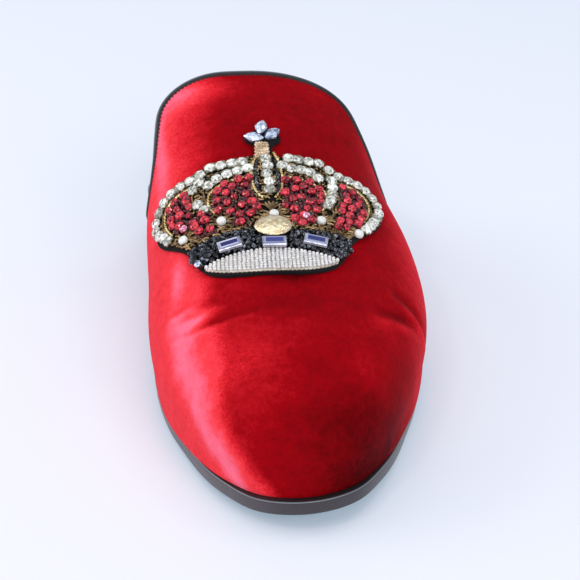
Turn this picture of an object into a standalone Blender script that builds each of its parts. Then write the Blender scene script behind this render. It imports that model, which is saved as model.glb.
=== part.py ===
import bmesh
import bpy
import math
import numpy as np

# Backless slipper for the left foot, toe towards -Y, lateral side towards +X, sole on Z = 0.
# Tables and driving sizes are in millimetres and scaled to metres when meshes are made.
MM = 0.001
CENTRE_X = 1.18           # tables to the middle of the finished width
LENGTH = 292.0            # heel end to toe end of the sole
SOLE_THICK = 5.5          # outsole edge
SOLE_EDGE = 0.9           # rounding on the outsole edge
HEEL_RISE = 12.0          # floor to the underside of the sole at the seat
HEEL_BREAST = 66.0        # heel end to the front of the heel
HEEL_INSET = 1.2          # heel block set in from the sole edge
TOP_LIFT = 4.0            # rubber piece under the heel block
ARCH_START = 66.0         # underside leaves the seat height here
ARCH_END = 168.0          # and reaches the floor here
SPRING_START = 205.0      # toe spring begins here
TOE_SPRING = 7.0          # underside height at the toe end
FEATHER_INSET = 1.7       # upper set in from the sole edge along the sides
TOE_INSET = 3.3           # and round the toe, where more of the sole's top shows
TOE_INSET_START = 270.0
WALL = 2.0                # upper wall
SEAT_GAP = 0.25           # clearance between neighbouring pieces
WALL_CLEAR = 0.4          # insole edge to the lining
STACK_TAPER = 0.6         # heel block and rubber piece draw in towards the floor
LIFT_TAPER = 1.0
INSOLE_THICK = 3.0
INSOLE_EDGE = 0.8
SOCK_INSET = 2.8          # sole edge left showing round the open heel
SOCK_BLEND = (10.0, 74.0) # from there the insole draws in to pass inside the upper
BEAD_R = 1.3              # rolled leather edge along the topline
BEAD_GAP = 0.3
BEAD_JOIN_Z = 55.0        # above this height the bead is traced across the tongue
BEAD_STEPS = 116
NOTCH_X = 140.2           # centre of the rounded notch, measured back from the toe
NOTCH_Z = 42.7
NOTCH_R = 3.9
TONGUE_DEG = 38.5         # tongue side edge seen from the side
QUARTER_DEG = -3.0        # top of the side wing seen from the side
SLIDE_MEDIAL = 3.5        # notch slides along the tongue edge, at SLIDE_SPAN on each side
SLIDE_LATERAL = -7.0
SLIDE_SPAN = 90.0
WING_BACK = 224.0         # the upper is lofted back to here before the topline is cut
UPPER_ROWS = 38
UPPER_COLUMNS = 30
NOSE_SHARE = 0.00012      # the foremost station, then they spread out by this power
NOSE_POWER = 1.9
BULGE_PEAK = 0.77         # greatest value of sin(2t) cos(t), brings a side bulge to its stated size
LINING_RISE = 12.0        # the lining face comes away from the sole over this height
BREAST_CURVE = 5.0        # hollow of the heel's front
SHARP_DEG = 35.0          # edges sharper than this stay crisp in shading

# share of length from the heel, centre offset (+ lateral), half width
OUTLINE = [
    (0.000, 0.0, 0.0),
    (0.030, 0.0, 19.5),
    (0.110, 0.2, 32.0),
    (0.220, 0.0, 34.5),
    (0.360, -0.8, 39.0),
    (0.500, 0.2, 44.8),
    (0.620, 1.4, 49.6),
    (0.720, 0.8, 50.8),
    (0.810, -1.4, 45.4),
    (0.890, -3.1, 35.9),
    (0.950, -4.1, 25.3),
    (0.985, -4.6, 15.8),
    (1.000, -4.6, 0.0),
]
# back from the upper's toe, crest height, crest offset, bulge medial, bulge lateral, squareness
SECTIONS = [
    (0.0, 13.2, -4.6, 0.0, 0.0, 2.20),
    (4.0, 29.0, -4.8, 1.1, 0.8, 2.25),
    (14.0, 40.0, -5.2, 2.5, 2.0, 2.25),
    (30.0, 47.0, -5.6, 3.5, 3.0, 2.25),
    (55.0, 52.5, -6.0, 4.5, 4.3, 2.30),
    (80.0, 57.0, -6.0, 4.1, 4.9, 2.40),
    (105.0, 62.5, -6.0, 4.4, 6.2, 2.50),
    (130.0, 69.5, -6.6, 6.0, 5.4, 2.75),
    (150.0, 75.5, -7.2, 5.4, 7.2, 3.00),
    (178.0, 82.6, -8.2, 11.2, 12.0, 3.05),
    (226.0, 89.0, -8.0, 5.0, 5.0, 3.05),
]
# topline seen from the side: back from the toe, height
TONGUE_EDGE = [
    (149.0, 54.4),
    (161.8, 64.1),
    (172.0, 71.6),
    (176.2, 77.2),
    (178.0, 81.2),
    (179.0, 84.6),
    (179.8, 96.0),
]
QUARTER_EDGE = [
    (152.0, 38.0),
    (166.0, 36.0),
    (180.0, 31.6),
    (193.0, 25.0),
    (204.0, 17.0),
    (213.0, 8.0),
]

# Crown ornament, in its own plane laid on the vamp: w across (+ lateral), h towards the tongue.
CROWN_BACK = 69.3         # lower middle of the bead band, back from the toe
CROWN_ASIDE = -0.3        # and aside from the crest line
CROWN_TURN_DEG = 4.5      # its top leans to the lateral side
CROWN_SKEW = 1.5          # both lobes lie this much towards the medial side at SKEW_SPAN
SKEW_SPAN = 42.0
FELT_LOW = 0.4            # heights above the velvet
FELT_HIGH = 1.4
TRIM_LOW = 1.7            # underside of what is sewn on the felt
BAND_TOP = 3.7
STONE_LOW = 4.1           # underside of what sits on the jet band
BAND_HALF = 22.5          # half width of the bead band
BAND_HEAD = 9.0           # its edges in the middle, they close in towards the ends
BAND_HEAD_FALL = 3.6
BAND_FOOT = -1.4
BAND_FOOT_RISE = 6.0
TRIM_GAP = 0.35
JET_HALF = 28.0           # the jet band lies above the bead band and wraps its ends
JET_HEAD = 20.2
JET_SAG = 3.6
JET_END_LOW = 5.6
JET_END_HIGH = 11.5
RIM_R = 1.6
# height, half width of the felt
FELT = [
    (-2.9, 13.0),
    (-1.3, 18.8),
    (1.0, 21.8),
    (5.0, 24.6),
    (10.0, 27.0),
    (15.0, 28.6),
    (19.0, 31.0),
    (24.0, 35.8),
    (29.0, 40.2),
    (35.0, 43.4),
    (41.0, 44.4),
    (46.5, 43.0),
    (50.5, 38.6),
    (54.0, 30.0),
    (57.0, 21.0),
    (59.0, 9.5),
    (60.4, 4.2),
    (63.5, 3.8),
    (66.4, 5.4),
    (69.4, 8.9),
    (72.0, 8.6),
    (74.8, 3.8),
    (78.9, 1.7),
]
# across, height of the middle of the crystal rim, from the post to the lobe's lower end
RIM = [
    (8.0, 56.2),
    (19.0, 55.4),
    (26.5, 52.6),
    (34.0, 50.4),
    (39.4, 47.0),
    (41.9, 41.5),
    (41.0, 35.5),
    (38.2, 29.5),
]
# name, across, height, half length, half breadth, turn in degrees, underside, rise, squareness
STONES = [
    ("crown_plaque", 0.6, 18.2, 6.3, 5.3, 0.0, STONE_LOW, 2.2, 2.2),
    ("crown_stone_medial", -13.9, 9.9, 4.6, 2.3, 9.0, STONE_LOW, 1.8, 6.0),
    ("crown_stone_middle", 0.6, 9.9, 4.6, 2.3, 0.0, STONE_LOW, 1.8, 6.0),
    ("crown_stone_lateral", 14.4, 10.2, 4.6, 2.3, -11.0, STONE_LOW, 1.8, 6.0),
    ("crown_post", 0.3, 47.6, 11.2, 4.9, 90.0, TRIM_LOW, 2.0, 1.6),
    ("crown_neck", 0.0, 62.8, 3.4, 2.4, 90.0, TRIM_LOW, 2.2, 3.0),
    ("crown_petal_medial", -4.1, 69.2, 3.9, 2.2, 165.0, TRIM_LOW, 2.0, 1.6),
    ("crown_petal_top", 0.0, 74.5, 3.8, 2.2, 84.0, TRIM_LOW, 2.0, 1.6),
    ("crown_petal_lateral", 4.3, 70.0, 3.9, 2.2, 25.0, TRIM_LOW, 2.0, 1.6),
]


def spline(xs, ys, x):
    xs, ys, x = np.asarray(xs, float), np.asarray(ys, float), np.asarray(x, float)
    rise = np.diff(ys) / np.diff(xs)
    gap = np.diff(xs)
    slope = np.empty(len(xs))
    slope[0], slope[-1] = rise[0], rise[-1]
    slope[1:-1] = (rise[:-1] * gap[1:] + rise[1:] * gap[:-1]) / (gap[1:] + gap[:-1])
    k = np.clip(np.searchsorted(xs, x) - 1, 0, len(xs) - 2)
    h = gap[k]
    t = (x - xs[k]) / h
    keep = (2 * t**3 - 3 * t**2 + 1) * ys[k] + (3 * t**2 - 2 * t**3) * ys[k + 1]
    return keep + h * ((t**3 - 2 * t**2 + t) * slope[k] + (t**3 - t**2) * slope[k + 1])


def smooth(a, b, x):
    t = np.clip((np.asarray(x, float) - a) / (b - a), 0.0, 1.0)
    return t * t * (3 - 2 * t)


def around(share):
    return np.arccos(np.clip(1 - 2 * np.asarray(share, float), -1.0, 1.0))


def edge(s, side):
    table = np.array(OUTLINE)
    angle = around(table[:, 0])
    centre = spline(angle, table[:, 1], around(s / LENGTH))
    half = np.maximum(spline(angle, table[:, 2], around(s / LENGTH)), 0.0)
    return centre + side * half


def inset_edges(inset):
    # medial and lateral edges of the outline moved in by inset(s), as two tables over s
    s = LENGTH * (1 - np.cos(np.linspace(0.0, math.pi, 721))) / 2
    tables = []
    for side in (-1, 1):
        x = edge(s, side)
        ds, dx = np.gradient(s), np.gradient(x)
        size = np.hypot(ds, dx)
        amount = inset(s)
        s_in = s + side * dx / size * amount
        x_in = x - side * ds / size * amount
        mid = (edge(s, -1) + edge(s, 1)) / 2
        keep = (x_in - mid) * side > 0
        s_in, x_in = s_in[keep], x_in[keep]
        order = np.argsort(s_in)
        tables.append((s_in[order], x_in[order]))
    low = max(tables[0][0][0], tables[1][0][0])
    high = min(tables[0][0][-1], tables[1][0][-1])
    return tables, low, high


def sole_bottom(s):
    s = np.asarray(s, float)
    seat = HEEL_RISE * (1 - smooth(ARCH_START, ARCH_END, s))
    run = np.clip((s - SPRING_START) / (LENGTH - SPRING_START), 0.0, 1.0)
    return seat + TOE_SPRING * run**2


def sole_top(s):
    return sole_bottom(s) + SOLE_THICK


def stations(low, high, count):
    # close together at both ends, where the outline turns
    return low + (high - low) * (1 - np.cos(np.linspace(0.0, math.pi, count))) / 2


def feather(s):
    return FEATHER_INSET + (TOE_INSET - FEATHER_INSET) * smooth(TOE_INSET_START, LENGTH, s)


# feather edges of the outer face, the middle of the wall and the lining face
LAYERS = {}
for layer in (0.0, WALL / 2, WALL):
    LAYERS[layer] = inset_edges(lambda s: feather(s) + layer)
TOE_END = LAYERS[0.0][2]


def section(back, column):
    table = np.array(SECTIONS)
    return spline(np.sqrt(table[:, 0]), table[:, column], np.sqrt(np.maximum(back, 0.0)))


def upper_point(s, t, layer=0.0):
    # a face of the upper, t runs from the medial feather over the crest to the lateral feather
    s, t = np.broadcast_arrays(np.asarray(s, float), np.asarray(t, float))
    (medial_edge, lateral_edge), _, toe = LAYERS[layer]
    back = toe - s
    floor = sole_top(s) + SEAT_GAP
    rise = np.maximum(section(back, 1) - floor, 0.0)
    rise = rise - layer * smooth(0.0, LINING_RISE, rise)
    crest = section(back, 2)
    power = 2.0 / section(back, 5)
    medial = np.cos(t) > 0
    foot = np.where(medial, np.interp(s, *medial_edge), np.interp(s, *lateral_edge))
    reach = np.where(medial, crest - foot, foot - crest)
    bulge = np.where(medial, section(back, 3), section(back, 4))
    c, n = np.abs(np.cos(t)), np.abs(np.sin(t))
    out = np.maximum(reach, 0.0) * c**power + bulge * np.abs(np.sin(2 * t)) * c / BULGE_PEAK
    x = crest - np.where(medial, 1, -1) * out
    return np.stack([x, LENGTH / 2 - s, floor + rise * n**power], -1)


def upper_normal(s, t, ds=0.5, dt=0.02):
    along = upper_point(s + ds, t) - upper_point(s - ds, t)
    across = upper_point(s, t + dt) - upper_point(s, t - dt)
    normal = np.cross(along, across)
    return normal / np.linalg.norm(normal, axis=-1, keepdims=True)


def crown_tables():
    # arc length along the crest from the crown's foot, and section angle against arc length across
    back = np.linspace(CROWN_BACK - 20.0, CROWN_BACK + 90.0, 111)
    crest = upper_point(LENGTH - back, math.pi / 2)
    run = np.r_[0.0, np.cumsum(np.linalg.norm(np.diff(crest, axis=0), axis=1))]
    return run - np.interp(CROWN_BACK, back, run), LENGTH - back


CREST_RUN, CREST_S = crown_tables()
ANGLES = np.linspace(0.1, math.pi - 0.1, 241)


def crown_point(w, h, lift):
    # a point of the crown's plane on the vamp, lifted along the normal
    turn = math.radians(CROWN_TURN_DEG)
    aside = CROWN_ASIDE + w * math.cos(turn) + h * math.sin(turn) - CROWN_SKEW * (w / SKEW_SPAN) ** 2
    ahead = h * math.cos(turn) - w * math.sin(turn)
    s = float(np.interp(ahead, CREST_RUN, CREST_S))
    line = upper_point(s, ANGLES)
    arc = np.r_[0.0, np.cumsum(np.linalg.norm(np.diff(line, axis=0), axis=1))]
    arc -= np.interp(math.pi / 2, ANGLES, arc)
    t = float(np.interp(aside, arc, ANGLES))
    return upper_point(s, t) + lift * upper_normal(s, t)


def topline():
    # side profile of the cut, from the end of the wing through the notch to the tongue tip
    a, b = math.radians(TONGUE_DEG), math.radians(QUARTER_DEG)
    arc = [(NOTCH_X + NOTCH_R * math.cos(g), NOTCH_Z + NOTCH_R * math.sin(g))
           for g in np.linspace(b + 1.5 * math.pi, a + 0.5 * math.pi, 13)]
    wing = np.array([arc[0]] + QUARTER_EDGE)
    tongue = np.array([arc[-1]] + TONGUE_EDGE)
    wing_x = np.linspace(wing[0, 0], wing[-1, 0], 22)[:0:-1]
    wing_pts = np.stack([wing_x, spline(wing[:, 0], wing[:, 1], wing_x)], -1)
    run = np.r_[0.0, np.cumsum(np.hypot(*np.diff(tongue, axis=0).T))]
    u = np.linspace(0.0, run[-1], 26)[1:]
    tongue_pts = np.stack([spline(run, tongue[:, 0], u), spline(run, tongue[:, 1], u)], -1)
    return np.concatenate([wing_pts, np.array(arc), tongue_pts])


def slide(x):
    # shift of the profile (back, up) at a distance x from the middle plane
    share = (np.asarray(x, float) + SLIDE_SPAN) / (2 * SLIDE_SPAN)
    amount = SLIDE_MEDIAL + (SLIDE_LATERAL - SLIDE_MEDIAL) * share
    a = math.radians(TONGUE_DEG)
    return np.stack([amount * math.cos(a), amount * math.sin(a)], -1)


def clear(group):
    for item in list(group):
        group.remove(item)


def material(name, colour, rough, metal=0.0):
    made = bpy.data.materials.new(name)
    made.use_nodes = True
    shader = made.node_tree.nodes["Principled BSDF"]
    shader.inputs["Base Color"].default_value = (*colour, 1.0)
    shader.inputs["Roughness"].default_value = rough
    shader.inputs["Metallic"].default_value = metal
    return made


def mesh_object(name, verts, faces, mat, group):
    mesh = bpy.data.meshes.new(name)
    mesh.from_pydata(((np.asarray(verts) - (CENTRE_X, 0.0, 0.0)) * MM).tolist(), [], faces)
    work = bmesh.new()
    work.from_mesh(mesh)
    bmesh.ops.recalc_face_normals(work, faces=work.faces)
    work.to_mesh(mesh)
    work.free()
    mesh.shade_smooth()
    mesh.set_sharp_from_angle(angle=math.radians(SHARP_DEG))
    mesh.materials.append(mat)
    made = bpy.data.objects.new(name, mesh)
    group.objects.link(made)
    return made


def loft(name, rings, mat, group):
    # closed rings of equal length joined into one capped solid
    count, size = len(rings), len(rings[0])
    faces = []
    for i in range(count - 1):
        for j in range(size):
            k = (j + 1) % size
            faces.append((i * size + j, i * size + k, (i + 1) * size + k, (i + 1) * size + j))
    faces.append(tuple(range(size))[::-1])
    faces.append(tuple((count - 1) * size + j for j in range(size)))
    return mesh_object(name, np.concatenate(rings), faces, mat, group)


def slab(name, tables, low, high, base, thick, round_off, mat, group, count):
    # plate between two edge tables, its underside on base(s)
    rings = []
    for s in stations(low + 0.15, high - 0.15, count):
        med, lat = np.interp(s, *tables[0]), np.interp(s, *tables[1])
        r = min(round_off, 0.3 * (lat - med))
        z = float(base(s))
        flat = np.linspace(med + r, lat - r, 5)
        ring = [(x, z) for x in flat]
        ring += [(lat, z + r), (lat, z + thick - r)]
        ring += [(x, z + thick) for x in flat[::-1]]
        ring += [(med, z + thick - r), (med, z + r)]
        rings.append(np.array([(x, LENGTH / 2 - s, h) for x, h in ring]))
    return loft(name, rings, mat, group)


def heel_ring(z, inset):
    tables, low, high = inset_edges(lambda s: np.full_like(s, inset))
    front = HEEL_BREAST - inset
    s = low + 0.05 + (front - low - 0.05) * (1 - np.cos(np.linspace(0.0, math.pi / 2, 15)))
    lateral = [(np.interp(v, *tables[1]), v) for v in s[::-1]]
    medial = [(np.interp(v, *tables[0]), v) for v in s]
    start, end = medial[-1], lateral[0]
    breast = []
    for f in np.linspace(0.0, 1.0, 9)[1:-1]:
        breast.append((start[0] + (end[0] - start[0]) * f, front - BREAST_CURVE * math.sin(math.pi * f)))
    return np.array([(x, LENGTH / 2 - v, z) for x, v in lateral + medial + breast])


def make_upper(mat, group, cutters):
    rows, columns = UPPER_ROWS, UPPER_COLUMNS
    # stations from the back of the wings to the toe, closer together where the toe turns
    share = NOSE_SHARE + (1 - NOSE_SHARE) * (1 - np.linspace(0.0, 1.0, rows)) ** NOSE_POWER
    t = np.linspace(0.0, math.pi, columns + 1)
    skins, noses = [], []
    for layer in (0.0, WALL):
        toe = LAYERS[layer][2]
        s = toe - (WING_BACK - TOE_END + toe) * share
        grid_s, grid_t = np.meshgrid(s, t, indexing="ij")
        skins.append(upper_point(grid_s, grid_t, layer))
        noses.append(upper_point(toe - 0.005, 0.0, layer))
    outer, inner = skins
    nose, nose_in = noses
    verts = np.concatenate([outer.reshape(-1, 3), inner.reshape(-1, 3), [nose], [nose_in]])
    width, shift = columns + 1, rows * (columns + 1)
    tip, tip_in = 2 * shift, 2 * shift + 1
    faces = []
    for i in range(rows - 1):
        for j in range(columns):
            a = i * width + j
            quad = (a, a + 1, a + width + 1, a + width)
            faces.append(quad)
            faces.append(tuple(v + shift for v in quad[::-1]))
        low, high = i * width, i * width + columns
        faces.append((low, low + width, low + width + shift, low + shift))
        faces.append((high + width, high, high + shift, high + width + shift))
    last = (rows - 1) * width
    for j in range(columns):
        faces.append((last + j, last + j + 1, tip))
        faces.append((last + j + 1 + shift, last + j + shift, tip_in))
        faces.append((j + 1, j, j + shift, j + 1 + shift))
    faces.append((last, tip, tip_in, last + shift))
    faces.append((tip, last + columns, last + columns + shift, tip_in))
    upper = mesh_object("upper", verts, faces, mat, group)

    profile = topline()
    corner = np.array([(profile[-1][0], 130.0), (300.0, 130.0), (300.0, -20.0),
                       (profile[0][0] + 8.0, -20.0)])
    shape = np.concatenate([profile, corner])
    ends = []
    for x in (-SLIDE_SPAN, SLIDE_SPAN):
        moved = shape + slide(x)
        ends.append(np.stack([np.full(len(moved), x), moved[:, 0] - LENGTH / 2, moved[:, 1]], -1))
    cutter = loft("topline_cutter", ends, mat, cutters)
    cutter.hide_render = True
    cutter.display_type = "WIRE"
    cut = upper.modifiers.new("topline", "BOOLEAN")
    cut.operation = "DIFFERENCE"
    cut.solver = "EXACT"
    cut.object = cutter
    return upper


def wall_middle(s, t):
    return upper_point(s, t, WALL / 2)


def wall_angle(s, z, side):
    # section angle at which the middle of the wall at station s reaches height z
    top = float(wall_middle(s, math.pi / 2)[2])
    floor = float(sole_top(s) + SEAT_GAP)
    share = min(max((z - floor) / (top - floor), 0.0), 1.0)
    t = math.asin(share ** (float(section(LAYERS[WALL / 2][2] - s, 5)) / 2.0))
    return t if side < 0 else math.pi - t


def past_cut(point, profile):
    # distance from the topline cut seen from the side, positive on the open side
    at = np.array([point[1] + LENGTH / 2, point[2]]) - slide(point[0])
    start, span = profile[:-1], np.diff(profile, axis=0)
    f = np.clip(np.sum((at - start) * span, 1) / np.sum(span * span, 1), 0.0, 1.0)
    away = at - (start + span * f[:, None])
    k = int(np.argmin(np.sum(away * away, 1)))
    side = away[k][0] * span[k][1] - away[k][1] * span[k][0]
    return math.copysign(float(np.hypot(*away[k])), side)


def binding_path():
    # the bead follows the middle of the wall, clear of the cut edge by its radius and a gap
    profile = topline()
    step = np.gradient(profile, axis=0)
    step /= np.linalg.norm(step, axis=1, keepdims=True)
    clear_by = BEAD_R + BEAD_GAP
    moved = profile + clear_by * np.stack([step[:, 1], -step[:, 0]], -1)
    lower, turn = [], []
    for side in (-1, 1):
        points = []
        for back, z in moved[moved[:, 1] < BEAD_JOIN_Z]:
            x = side * 44.0
            for _ in range(8):
                at = np.array([back, z]) + slide(x)
                s = LENGTH - at[0]
                t = wall_angle(s, at[1], side)
                point = wall_middle(s, t)
                x = point[0]
            if point[2] > float(sole_top(s)) + BEAD_R + 1.2:
                points.append(point)
        lower.append(np.array(points))
        turn.append(t)
    over = []
    for t in np.linspace(turn[0], turn[1], 96)[1:-1]:
        near, far = LENGTH - 140.0, LENGTH - 200.0
        for _ in range(30):
            mid = (near + far) / 2
            if past_cut(wall_middle(mid, t), profile) < clear_by:
                near = mid
            else:
                far = mid
        over.append(wall_middle(mid, t))
    path = np.concatenate([lower[0], np.array(over), lower[1][::-1]])
    run = np.r_[0.0, np.cumsum(np.linalg.norm(np.diff(path, axis=0), axis=1))]
    even = np.linspace(0.0, run[-1], BEAD_STEPS)
    return np.stack([np.interp(even, run, path[:, k]) for k in range(3)], -1)


def crown_plate(name, rows, low, high, mat, group, columns):
    # plate over the vamp: rows of (left w, left h, right w, right h), straight between the two ends
    even = np.linspace(0.0, 1.0, columns + 1)
    share = (even + (1 - np.cos(math.pi * even)) / 2) / 2
    rings = []
    for left_w, left_h, right_w, right_h in rows:
        across = left_w + (right_w - left_w) * share
        up = left_h + (right_h - left_h) * share
        under = [crown_point(w, h, low) for w, h in zip(across, up)]
        over = [crown_point(w, h, high) for w, h in zip(across, up)]
        rings.append(np.array(under + over[::-1]))
    return loft(name, rings, mat, group)


def crown_stone(name, w, h, length, breadth, turn_deg, low, rise, square, mat, group):
    # low dome on the crown: rings that shrink as they rise
    turn, rings = math.radians(turn_deg), []
    for share, lift in ((1.0, 0.0), (1.0, 0.4), (0.86, 0.75), (0.55, 0.97)):
        ring = []
        for g in np.linspace(0.0, 2 * math.pi, 15)[:-1]:
            c, n = math.cos(g), math.sin(g)
            a = length * share * math.copysign(abs(c) ** (2 / square), c)
            b = breadth * share * math.copysign(abs(n) ** (2 / square), n)
            across = w + a * math.cos(turn) - b * math.sin(turn)
            up = h + a * math.sin(turn) + b * math.cos(turn)
            ring.append(crown_point(across, up, low + rise * lift))
        rings.append(np.array(ring))
    return loft(name, rings, mat, group)


def tube(name, path, radius, mat, group):
    curve = bpy.data.curves.new(name, "CURVE")
    curve.dimensions = "3D"
    curve.bevel_depth = radius * MM
    curve.bevel_resolution = 1
    curve.use_fill_caps = True
    run = curve.splines.new("POLY")
    run.points.add(len(path) - 1)
    for point, place in zip(run.points, (path - (CENTRE_X, 0.0, 0.0)) * MM):
        point.co = (*place, 1.0)
    curve.materials.append(mat)
    made = bpy.data.objects.new(name, curve)
    group.objects.link(made)
    return made


def band_head(across):
    return BAND_HEAD - BAND_HEAD_FALL * np.abs(across / BAND_HALF) ** 1.6


def make_crown(mats, group):
    felt = np.array(FELT)
    fine = np.linspace(felt[0, 0], felt[-1, 0], 400)
    run = np.r_[0.0, np.cumsum(np.hypot(np.diff(fine), np.diff(spline(felt[:, 0], felt[:, 1], fine))))]
    heights = np.interp(np.linspace(0.0, run[-1], 36), run, fine)
    widths = spline(felt[:, 0], felt[:, 1], heights)
    crown_plate("crown_backing", [(-w, h, w, h) for w, h in zip(widths, heights)],
                FELT_LOW, FELT_HIGH, mats["felt"], group, 14)

    across = np.linspace(-BAND_HALF, BAND_HALF, 15)
    foot = BAND_FOOT + BAND_FOOT_RISE * np.abs(across / BAND_HALF) ** 3
    head = band_head(across)
    crown_plate("crown_bead_band", [(w, a, w, b) for w, a, b in zip(across, foot, head)],
                TRIM_LOW, BAND_TOP, mats["beads"], group, 3)

    end = np.linspace(BAND_HALF + 2 * TRIM_GAP, JET_HALF, 4)
    middle = np.linspace(-BAND_HALF - TRIM_GAP, BAND_HALF + TRIM_GAP, 15)
    across = np.r_[-end[::-1], middle, end]
    end_foot = JET_END_LOW + (JET_END_HIGH - JET_END_LOW) * smooth(end[0], end[-1], end)
    foot = np.r_[end_foot[::-1], band_head(middle) + TRIM_GAP, end_foot]
    head = JET_HEAD - JET_SAG * (across / JET_HALF) ** 2
    crown_plate("crown_jet_band", [(w, a, w, b) for w, a, b in zip(across, foot, head)],
                TRIM_LOW, BAND_TOP, mats["jet"], group, 3)

    for row in STONES:
        name = row[0]
        kind = "gold" if name in ("crown_plaque", "crown_neck") else "crystal"
        crown_stone(*row, mats[kind], group)
    rim = np.array(RIM)
    run = np.r_[0.0, np.cumsum(np.hypot(*np.diff(rim, axis=0).T))]
    even = np.linspace(0.0, run[-1], 24)
    for name, side in (("crown_rim_medial", -1), ("crown_rim_lateral", 1)):
        w, h = spline(run, rim[:, 0], even), spline(run, rim[:, 1], even)
        path = np.array([crown_point(side * a, b, TRIM_LOW + RIM_R) for a, b in zip(w, h)])
        tube(name, path, RIM_R, mats["crystal"], group)


for item in list(bpy.data.objects):
    bpy.data.objects.remove(item, do_unlink=True)
for group in (bpy.data.meshes, bpy.data.curves, bpy.data.materials, bpy.data.collections):
    clear(group)
slipper = bpy.data.collections.new("loafer_mule")
cutters = bpy.data.collections.new("cutters")
for group in (slipper, cutters):
    bpy.context.scene.collection.children.link(group)

velvet = material("red_velvet", (0.45, 0.01, 0.02), 0.6)
black_leather = material("black_leather", (0.02, 0.02, 0.022), 0.4)
sole_leather = material("sole_leather", (0.06, 0.055, 0.055), 0.5)
heel_leather = material("stacked_leather", (0.045, 0.04, 0.04), 0.45)
rubber = material("black_rubber", (0.02, 0.02, 0.02), 0.75)
sock = material("black_sock", (0.025, 0.025, 0.027), 0.55)

plain, low, high = inset_edges(lambda s: np.zeros_like(s))
slab("outsole", plain, low, high, sole_bottom, SOLE_THICK, SOLE_EDGE, sole_leather, slipper, 44)
loft("heel_top_lift", [heel_ring(0.0, HEEL_INSET + LIFT_TAPER), heel_ring(TOP_LIFT, HEEL_INSET + STACK_TAPER)],
     rubber, slipper)
loft("heel_stack", [heel_ring(TOP_LIFT + SEAT_GAP, HEEL_INSET + STACK_TAPER),
                    heel_ring(HEEL_RISE - SEAT_GAP, HEEL_INSET)], heel_leather, slipper)
make_upper(velvet, slipper, cutters)
under, low, high = inset_edges(
    lambda s: SOCK_INSET + (feather(s) + WALL + WALL_CLEAR - SOCK_INSET) * smooth(*SOCK_BLEND, s))
slab("insole", under, low, high, lambda s: sole_top(s) + SEAT_GAP, INSOLE_THICK, INSOLE_EDGE,
     sock, slipper, 38)
tube("topline_binding", binding_path(), BEAD_R, black_leather, slipper)
make_crown({
    "felt": material("black_felt", (0.01, 0.01, 0.011), 0.9),
    "beads": material("silver_beads", (0.75, 0.74, 0.72), 0.25, 0.6),
    "jet": material("jet_beads", (0.012, 0.012, 0.014), 0.15),
    "gold": material("gold_plate", (0.78, 0.6, 0.28), 0.3, 1.0),
    "crystal": material("crystal", (0.82, 0.85, 0.88), 0.08),
}, slipper)
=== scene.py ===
import math
import bpy
import numpy as np
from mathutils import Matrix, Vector
from mathutils.kdtree import KDTree


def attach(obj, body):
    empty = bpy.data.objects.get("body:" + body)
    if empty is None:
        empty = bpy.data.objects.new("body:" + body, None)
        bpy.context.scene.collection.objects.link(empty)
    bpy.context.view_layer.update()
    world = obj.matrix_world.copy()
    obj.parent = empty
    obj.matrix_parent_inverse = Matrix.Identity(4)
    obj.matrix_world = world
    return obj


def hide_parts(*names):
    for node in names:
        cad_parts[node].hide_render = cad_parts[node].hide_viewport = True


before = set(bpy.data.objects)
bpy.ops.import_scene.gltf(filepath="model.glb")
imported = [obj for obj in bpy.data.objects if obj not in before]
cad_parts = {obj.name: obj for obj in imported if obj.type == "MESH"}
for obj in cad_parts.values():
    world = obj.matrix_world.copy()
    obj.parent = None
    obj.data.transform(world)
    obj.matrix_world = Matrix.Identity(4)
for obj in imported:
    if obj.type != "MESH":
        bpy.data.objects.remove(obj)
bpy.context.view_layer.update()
mm = 0.001
rng = np.random.default_rng(11)

# the last's sizes in millimetres, toe towards -Y, outer side of the left foot towards +X
last = {
    "length": 292.0,
    "centreX": 1.18,       # tables to the middle of the finished width
    "soleThick": 5.5,
    "heelRise": 12.0,
    "archStart": 66.0,
    "archEnd": 168.0,
    "springStart": 205.0,
    "toeSpring": 7.0,
    "featherInset": 1.7,   # velvet set in from the sole's edge, more round the toe
    "toeInset": 3.3,
    "toeInsetStart": 270.0,
    "seatGap": 0.25,
    "wall": 2.0,
    "bulgePeak": 0.77,
    "edgeAngle": 0.03,     # normals are read this far in from the feather edges
}
# share of the length from the heel, centre offset, half width
outline = np.array([
    (0.000, 0.0, 0.0), (0.030, 0.0, 19.5), (0.110, 0.2, 32.0), (0.220, 0.0, 34.5), (0.360, -0.8, 39.0),
    (0.500, 0.2, 44.8), (0.620, 1.4, 49.6), (0.720, 0.8, 50.8), (0.810, -1.4, 45.4), (0.890, -3.1, 35.9),
    (0.950, -4.1, 25.3), (0.985, -4.6, 15.8), (1.000, -4.6, 0.0)])
# back from the toe, then the columns that sectionColumn names
sections = np.array([
    (0.0, 13.2, -4.6, 0.0, 0.0, 2.20), (4.0, 29.0, -4.8, 1.1, 0.8, 2.25), (14.0, 40.0, -5.2, 2.5, 2.0, 2.25),
    (30.0, 47.0, -5.6, 3.5, 3.0, 2.25), (55.0, 52.5, -6.0, 4.5, 4.3, 2.30),
    (80.0, 57.0, -6.0, 4.1, 4.9, 2.40), (105.0, 62.5, -6.0, 4.4, 6.2, 2.50),
    (130.0, 69.5, -6.6, 6.0, 5.4, 2.75), (150.0, 75.5, -7.2, 5.4, 7.2, 3.00),
    (178.0, 82.6, -8.2, 11.2, 12.0, 3.05), (226.0, 89.0, -8.0, 5.0, 5.0, 3.05)])
sectionColumn = {"crestHeight": 1, "crestAside": 2, "bulgeMedial": 3, "bulgeLateral": 4, "squareness": 5}
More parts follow.
